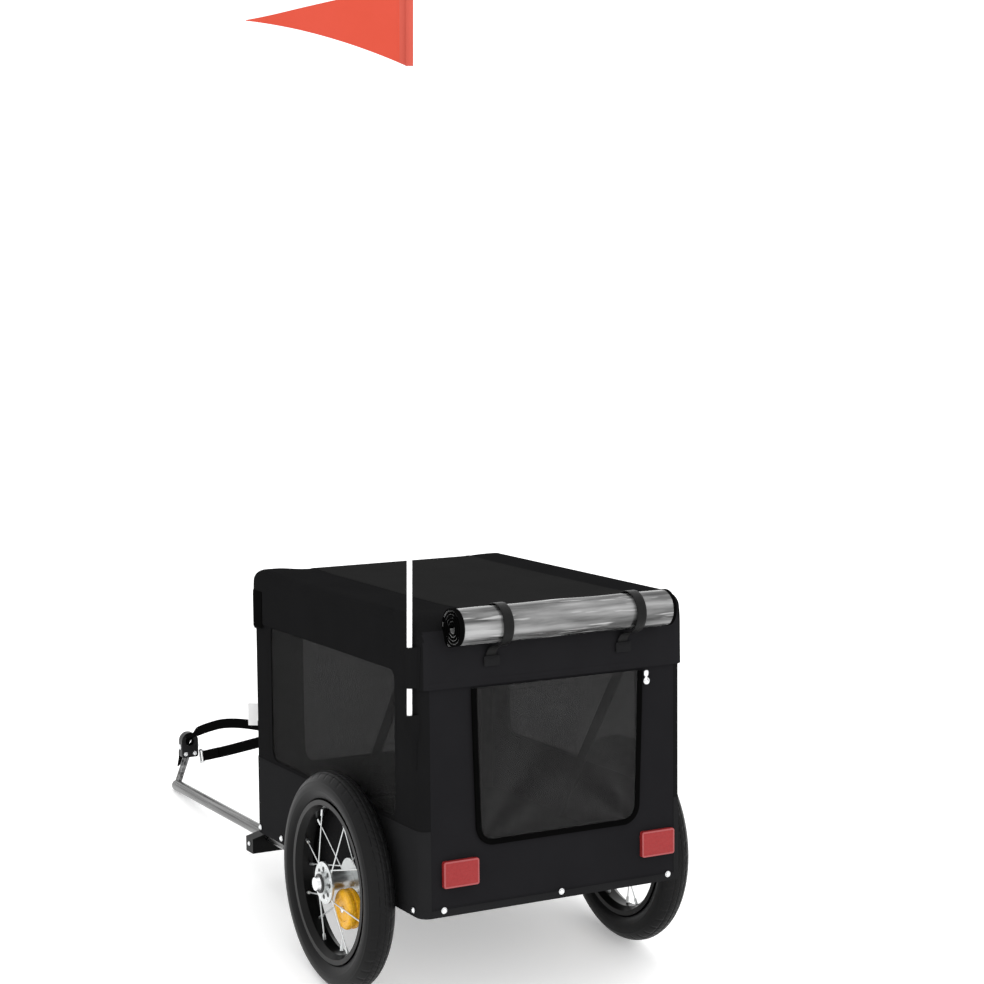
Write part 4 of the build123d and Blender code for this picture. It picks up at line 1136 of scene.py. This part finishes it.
def make_corner_black_strips():
    """A black strip on the flap at each front corner, round the corner's arc."""
    for side in SIDES:
        along = np.linspace(-29 * MM, 6 * MM, 28)[None, :]
        up = np.linspace(459 * MM, 514 * MM, 16)[:, None]
        past = np.clip(along / COVER_PLAN_R, 0, math.pi / 2)
        x = COVER_L - COVER_PLAN_R + np.minimum(along, 0) + (COVER_PLAN_R + 0.5 * MM) * np.sin(past)
        x = x - (COVER_BEND_R - np.sqrt(COVER_BEND_R ** 2 - np.clip(up - 500 * MM, 0, 1) ** 2)) * np.sin(past)
        y = side * (COVER_W - COVER_PLAN_R + (COVER_PLAN_R + 0.5 * MM) * np.cos(past))
        piece(f"corner_black_strip_{SIDES[side]}", patch(grid_of(x, y, up)), "webbing",
              thick=1.0 * MM)


FLAG_TOP = POLE_FOOT + POLE_UP * 0.950
FLAG_L, FLAG_H = 0.220, 0.102
FLAG_OUT = np.array((math.cos(math.pi / 4), math.sin(math.pi / 4), 0))
FLAG_FACE = np.cross(FLAG_OUT, POLE_UP)


def make_flag():
    """A pennant between two bowed edges, each a parabola; it waves more towards its tip."""
    top = np.polyfit((0, 0.45, 1), (0, -17, -37), 2)
    low = np.polyfit((0, 0.45, 1), (-102, -65, -37.6), 2)
    out = np.linspace(0, 1, 70)[:, None]
    share = np.linspace(0, 1, 30)[None, :]
    rise = (np.polyval(top, out) * (1 - share) + np.polyval(low, out) * share) * MM
    wave = 2.4 * MM * out * np.sin(out * 9 + share * 1.8)
    wave = wave + 1.0 * MM * ease(out * 6) * ripple(out * FLAG_L, rise, 0.07, 5)
    reach = (POLE_R + out * (FLAG_L - POLE_R))[..., None]
    grid = FLAG_TOP + reach * FLAG_OUT + rise[..., None] * POLE_UP + wave[..., None] * FLAG_FACE
    ways = grid_of(out * FLAG_L, rise)
    hem_share = 0.052
    hoist = np.repeat((out[1:, 0] < hem_share).astype(int), share.size - 1)
    cloth = piece("flag_pennant", patch(grid, ways), ["flag", "flag_hem"],
                  stands_for=("flag",), thick=LAYER_T, zones=hoist)
    bore, mouth, skin, lip = POLE_R + 0.35 * MM, POLE_R + 1.2 * MM, POLE_R + 1.4 * MM, 2 * MM
    tube = [(bore, 0), (mouth, 0), (skin, lip), (skin, FLAG_H - lip), (mouth, FLAG_H), (bore, FLAG_H),
            (bore, 0)]
    foot = FLAG_TOP - POLE_UP * FLAG_H
    piece("flag_hoist", turned(foot, tube, POLE_UP, 28), "flag_hem")
    hems = [grid[:, 1], grid[:, -2], grid[4]]
    seams = [stitches(line, FLAG_FACE * sign) for line in hems for sign in (-1, 1)]
    for sign, seam in zip((-1, 1) * 3, seams):
        seam[0][:] += sign * 0.45 * MM * FLAG_FACE
    piece("flag_stitching", join(seams), "flag_hem")


def make_tag():
    """A blank folded tag out of the corner seam, curled by a parabola towards its free edge."""
    low, high = level_box("tag")
    turn = math.radians(60)
    out = np.array((math.cos(turn), math.sin(turn), 0))
    face = np.array((math.sin(turn), -math.cos(turn), 0))
    root = np.array((FLAT_X, FLAT_Y, 0)) + out * (CORNER_R + 0.6 * MM)
    way = np.linspace(0, 1, 16)[:, None]
    up = np.linspace(low[2], high[2], 18)[None, :]
    wide = 14.5 * MM
    flat = root + (way * wide)[..., None] * out + (1.8 * MM * way ** 2)[..., None] * face
    grid = grid_of(flat[..., 0], flat[..., 1], up)
    label = piece("blank_tag", patch(grid), "tag", stands_for=("tag",), thick=1.0 * MM)


UPPER_STRAP = ((277.2, 150, 290), (340, 152.2, 283), (410, 154.8, 276), (473, 157.1, 267.5),
               (525, 159, 257.5), (570, 160.7, 245), (608, 162, 233), (640, 163.2, 221.5),
               (660, 163.8, 211.5), (676, 164.4, 200), (686, 164.9, 188), (696, 165.2, 172),
               (702.5, 165.4, 157))
LOWER_STRAP = ((277.1, 150, 285), (360, 149.3, 260), (450, 148.6, 234), (540, 147.8, 208.5),
               (636.5, 147, 182.3))


def strap_path(points, count):
    """A strap's smooth path, and the upward direction across it at each of its points."""
    path = smooth(np.array(points) * MM, count)
    upward = np.cross(np.gradient(path, axis=0), (0, -1.0, 0))
    return path, upward / np.linalg.norm(upward, axis=1, keepdims=True)


def make_straps():
    """The safety strap: one run turns flat before the yoke, and the other ends in the ring."""
    path, upward = strap_path(UPPER_STRAP, 120)
    way = np.linspace(0, 1, 120)
    turn = math.pi / 2 * (1 - ease((way - 0.5) / 0.2)) + 0.7 * ease((way - 0.82) / 0.1)
    across = np.cos(turn)[:, None] * np.array((0, 1.0, 0)) + np.sin(turn)[:, None] * upward
    upper = sweep(path, across, strap_section(15.5 * MM, 1.9 * MM))
    low_path, upward = strap_path(LOWER_STRAP, 60)
    lower = sweep(low_path, upward, strap_section(17 * MM, 2.0 * MM))
    back, tip = low_path[-12] + (0, 2.0 * MM, 0), low_path[-1] + (0, 1.6 * MM, 0)
    fold = sweep(np.linspace(back, tip, 12), upward[-1], strap_section(17 * MM, 1.6 * MM))
    piece("safety_strap_webbing", join([upper, lower, fold]), "webbing",
          stands_for=("safety_strap",))
    rows = [low_path + upward * sign * 6.5 * MM + (0, 1.1 * MM, 0) for sign in (-1, 1)]
    seams = [stitches(row, (0, 1.0, 0), 3.0 * MM, 2.0 * MM, 0.5 * MM) for row in rows]
    piece("safety_strap_seams", join(seams), THREAD)


def make_yoke():
    """The hitch's end: a flat steel eye with a round top over a straight foot."""
    mid, size = span("hitch_yoke")
    top = size[1] / 2 - 0.2 * MM
    edge = outline(mid[1:], size[1:], [4 * MM, top, top, 4 * MM], 16, 8)
    hole = outline(mid[1:] + (0, (size[2] - size[1]) / 2), (15.5 * MM, 16 * MM), 7.7 * MM, 16, 8)
    flat = between(hole, edge, 6)
    eye = patch(grid_of(mid[0], flat[..., 0], flat[..., 1]), flat)
    piece("hitch_yoke_eye", eye, "yoke", stands_for=("hitch_yoke",), thick=size[0])


def make_drawbar_fittings():
    """Heads of the hitch's pin, of two screws behind the yoke and of one on the drawbar's shoe."""
    pin = np.array([(663, 149.3, 196), (663, 178.7, 196)]) * MM
    domes("yoke_pin_heads", pin, [(0, -1, 0), (0, 1, 0)], 4.6 * MM)
    screws = np.array([(655.8, 156, 184), (655.8, 172, 184), (277, 217.2, 122)]) * MM
    domes("drawbar_screws", screws, [(-1, 0, 0), (-1, 0, 0), (0, 1, 0)], 3.4 * MM)


# ---- carried-over solids ----
FINISHES = {
    "paint": "axle_tube cross_rail_front cross_rail_middle cross_rail_rear side_rail_left side_rail_right "
             "posts_left posts_right top_bar_front top_bar_rear top_rail_left top_rail_right stay_left "
             "stay_right",
    "clamp": "drawbar_shoe",
    "board": "floor_board",
    "steel": "drawbar",
    "bright": "stub_axle_left stub_axle_right strap_ring",
    "spokes": "hub_left hub_right",
    "rim": "rim_left rim_right",
    "rod": "flag_pole",
    "red": "reflector_left reflector_right",
}


def finish_solids():
    """Each solid that shows as it is gets its material."""
    for finish, names in FINISHES.items():
        for name in names.split():
            mesh = frame["nodes"][name].data
            mesh.materials.clear()
            mesh.materials.append(LOOKS[finish])


make_camera()
make_stage()
finish_solids()
make_cover()
make_roof_panel()
for side in SIDES:
    make_side_wall(side)
    make_lower_panel(side)
    make_window(side)
    make_tyre(side)
    make_wheel_marker(side)
    make_hub_details(side)
    make_reflector_rim(SIDES[side])
for end in ENDS:
    make_end_wall(end)
    make_door(end)
    make_zip_pull(end)
make_roll_band(BAND_YS[0], "left")
make_roll_band(BAND_YS[1], "right")
make_roll()
make_bolts()
make_pole_sleeves()
make_corner_black_strips()
make_flag()
make_tag()
make_straps()
make_yoke()
make_drawbar_fittings()
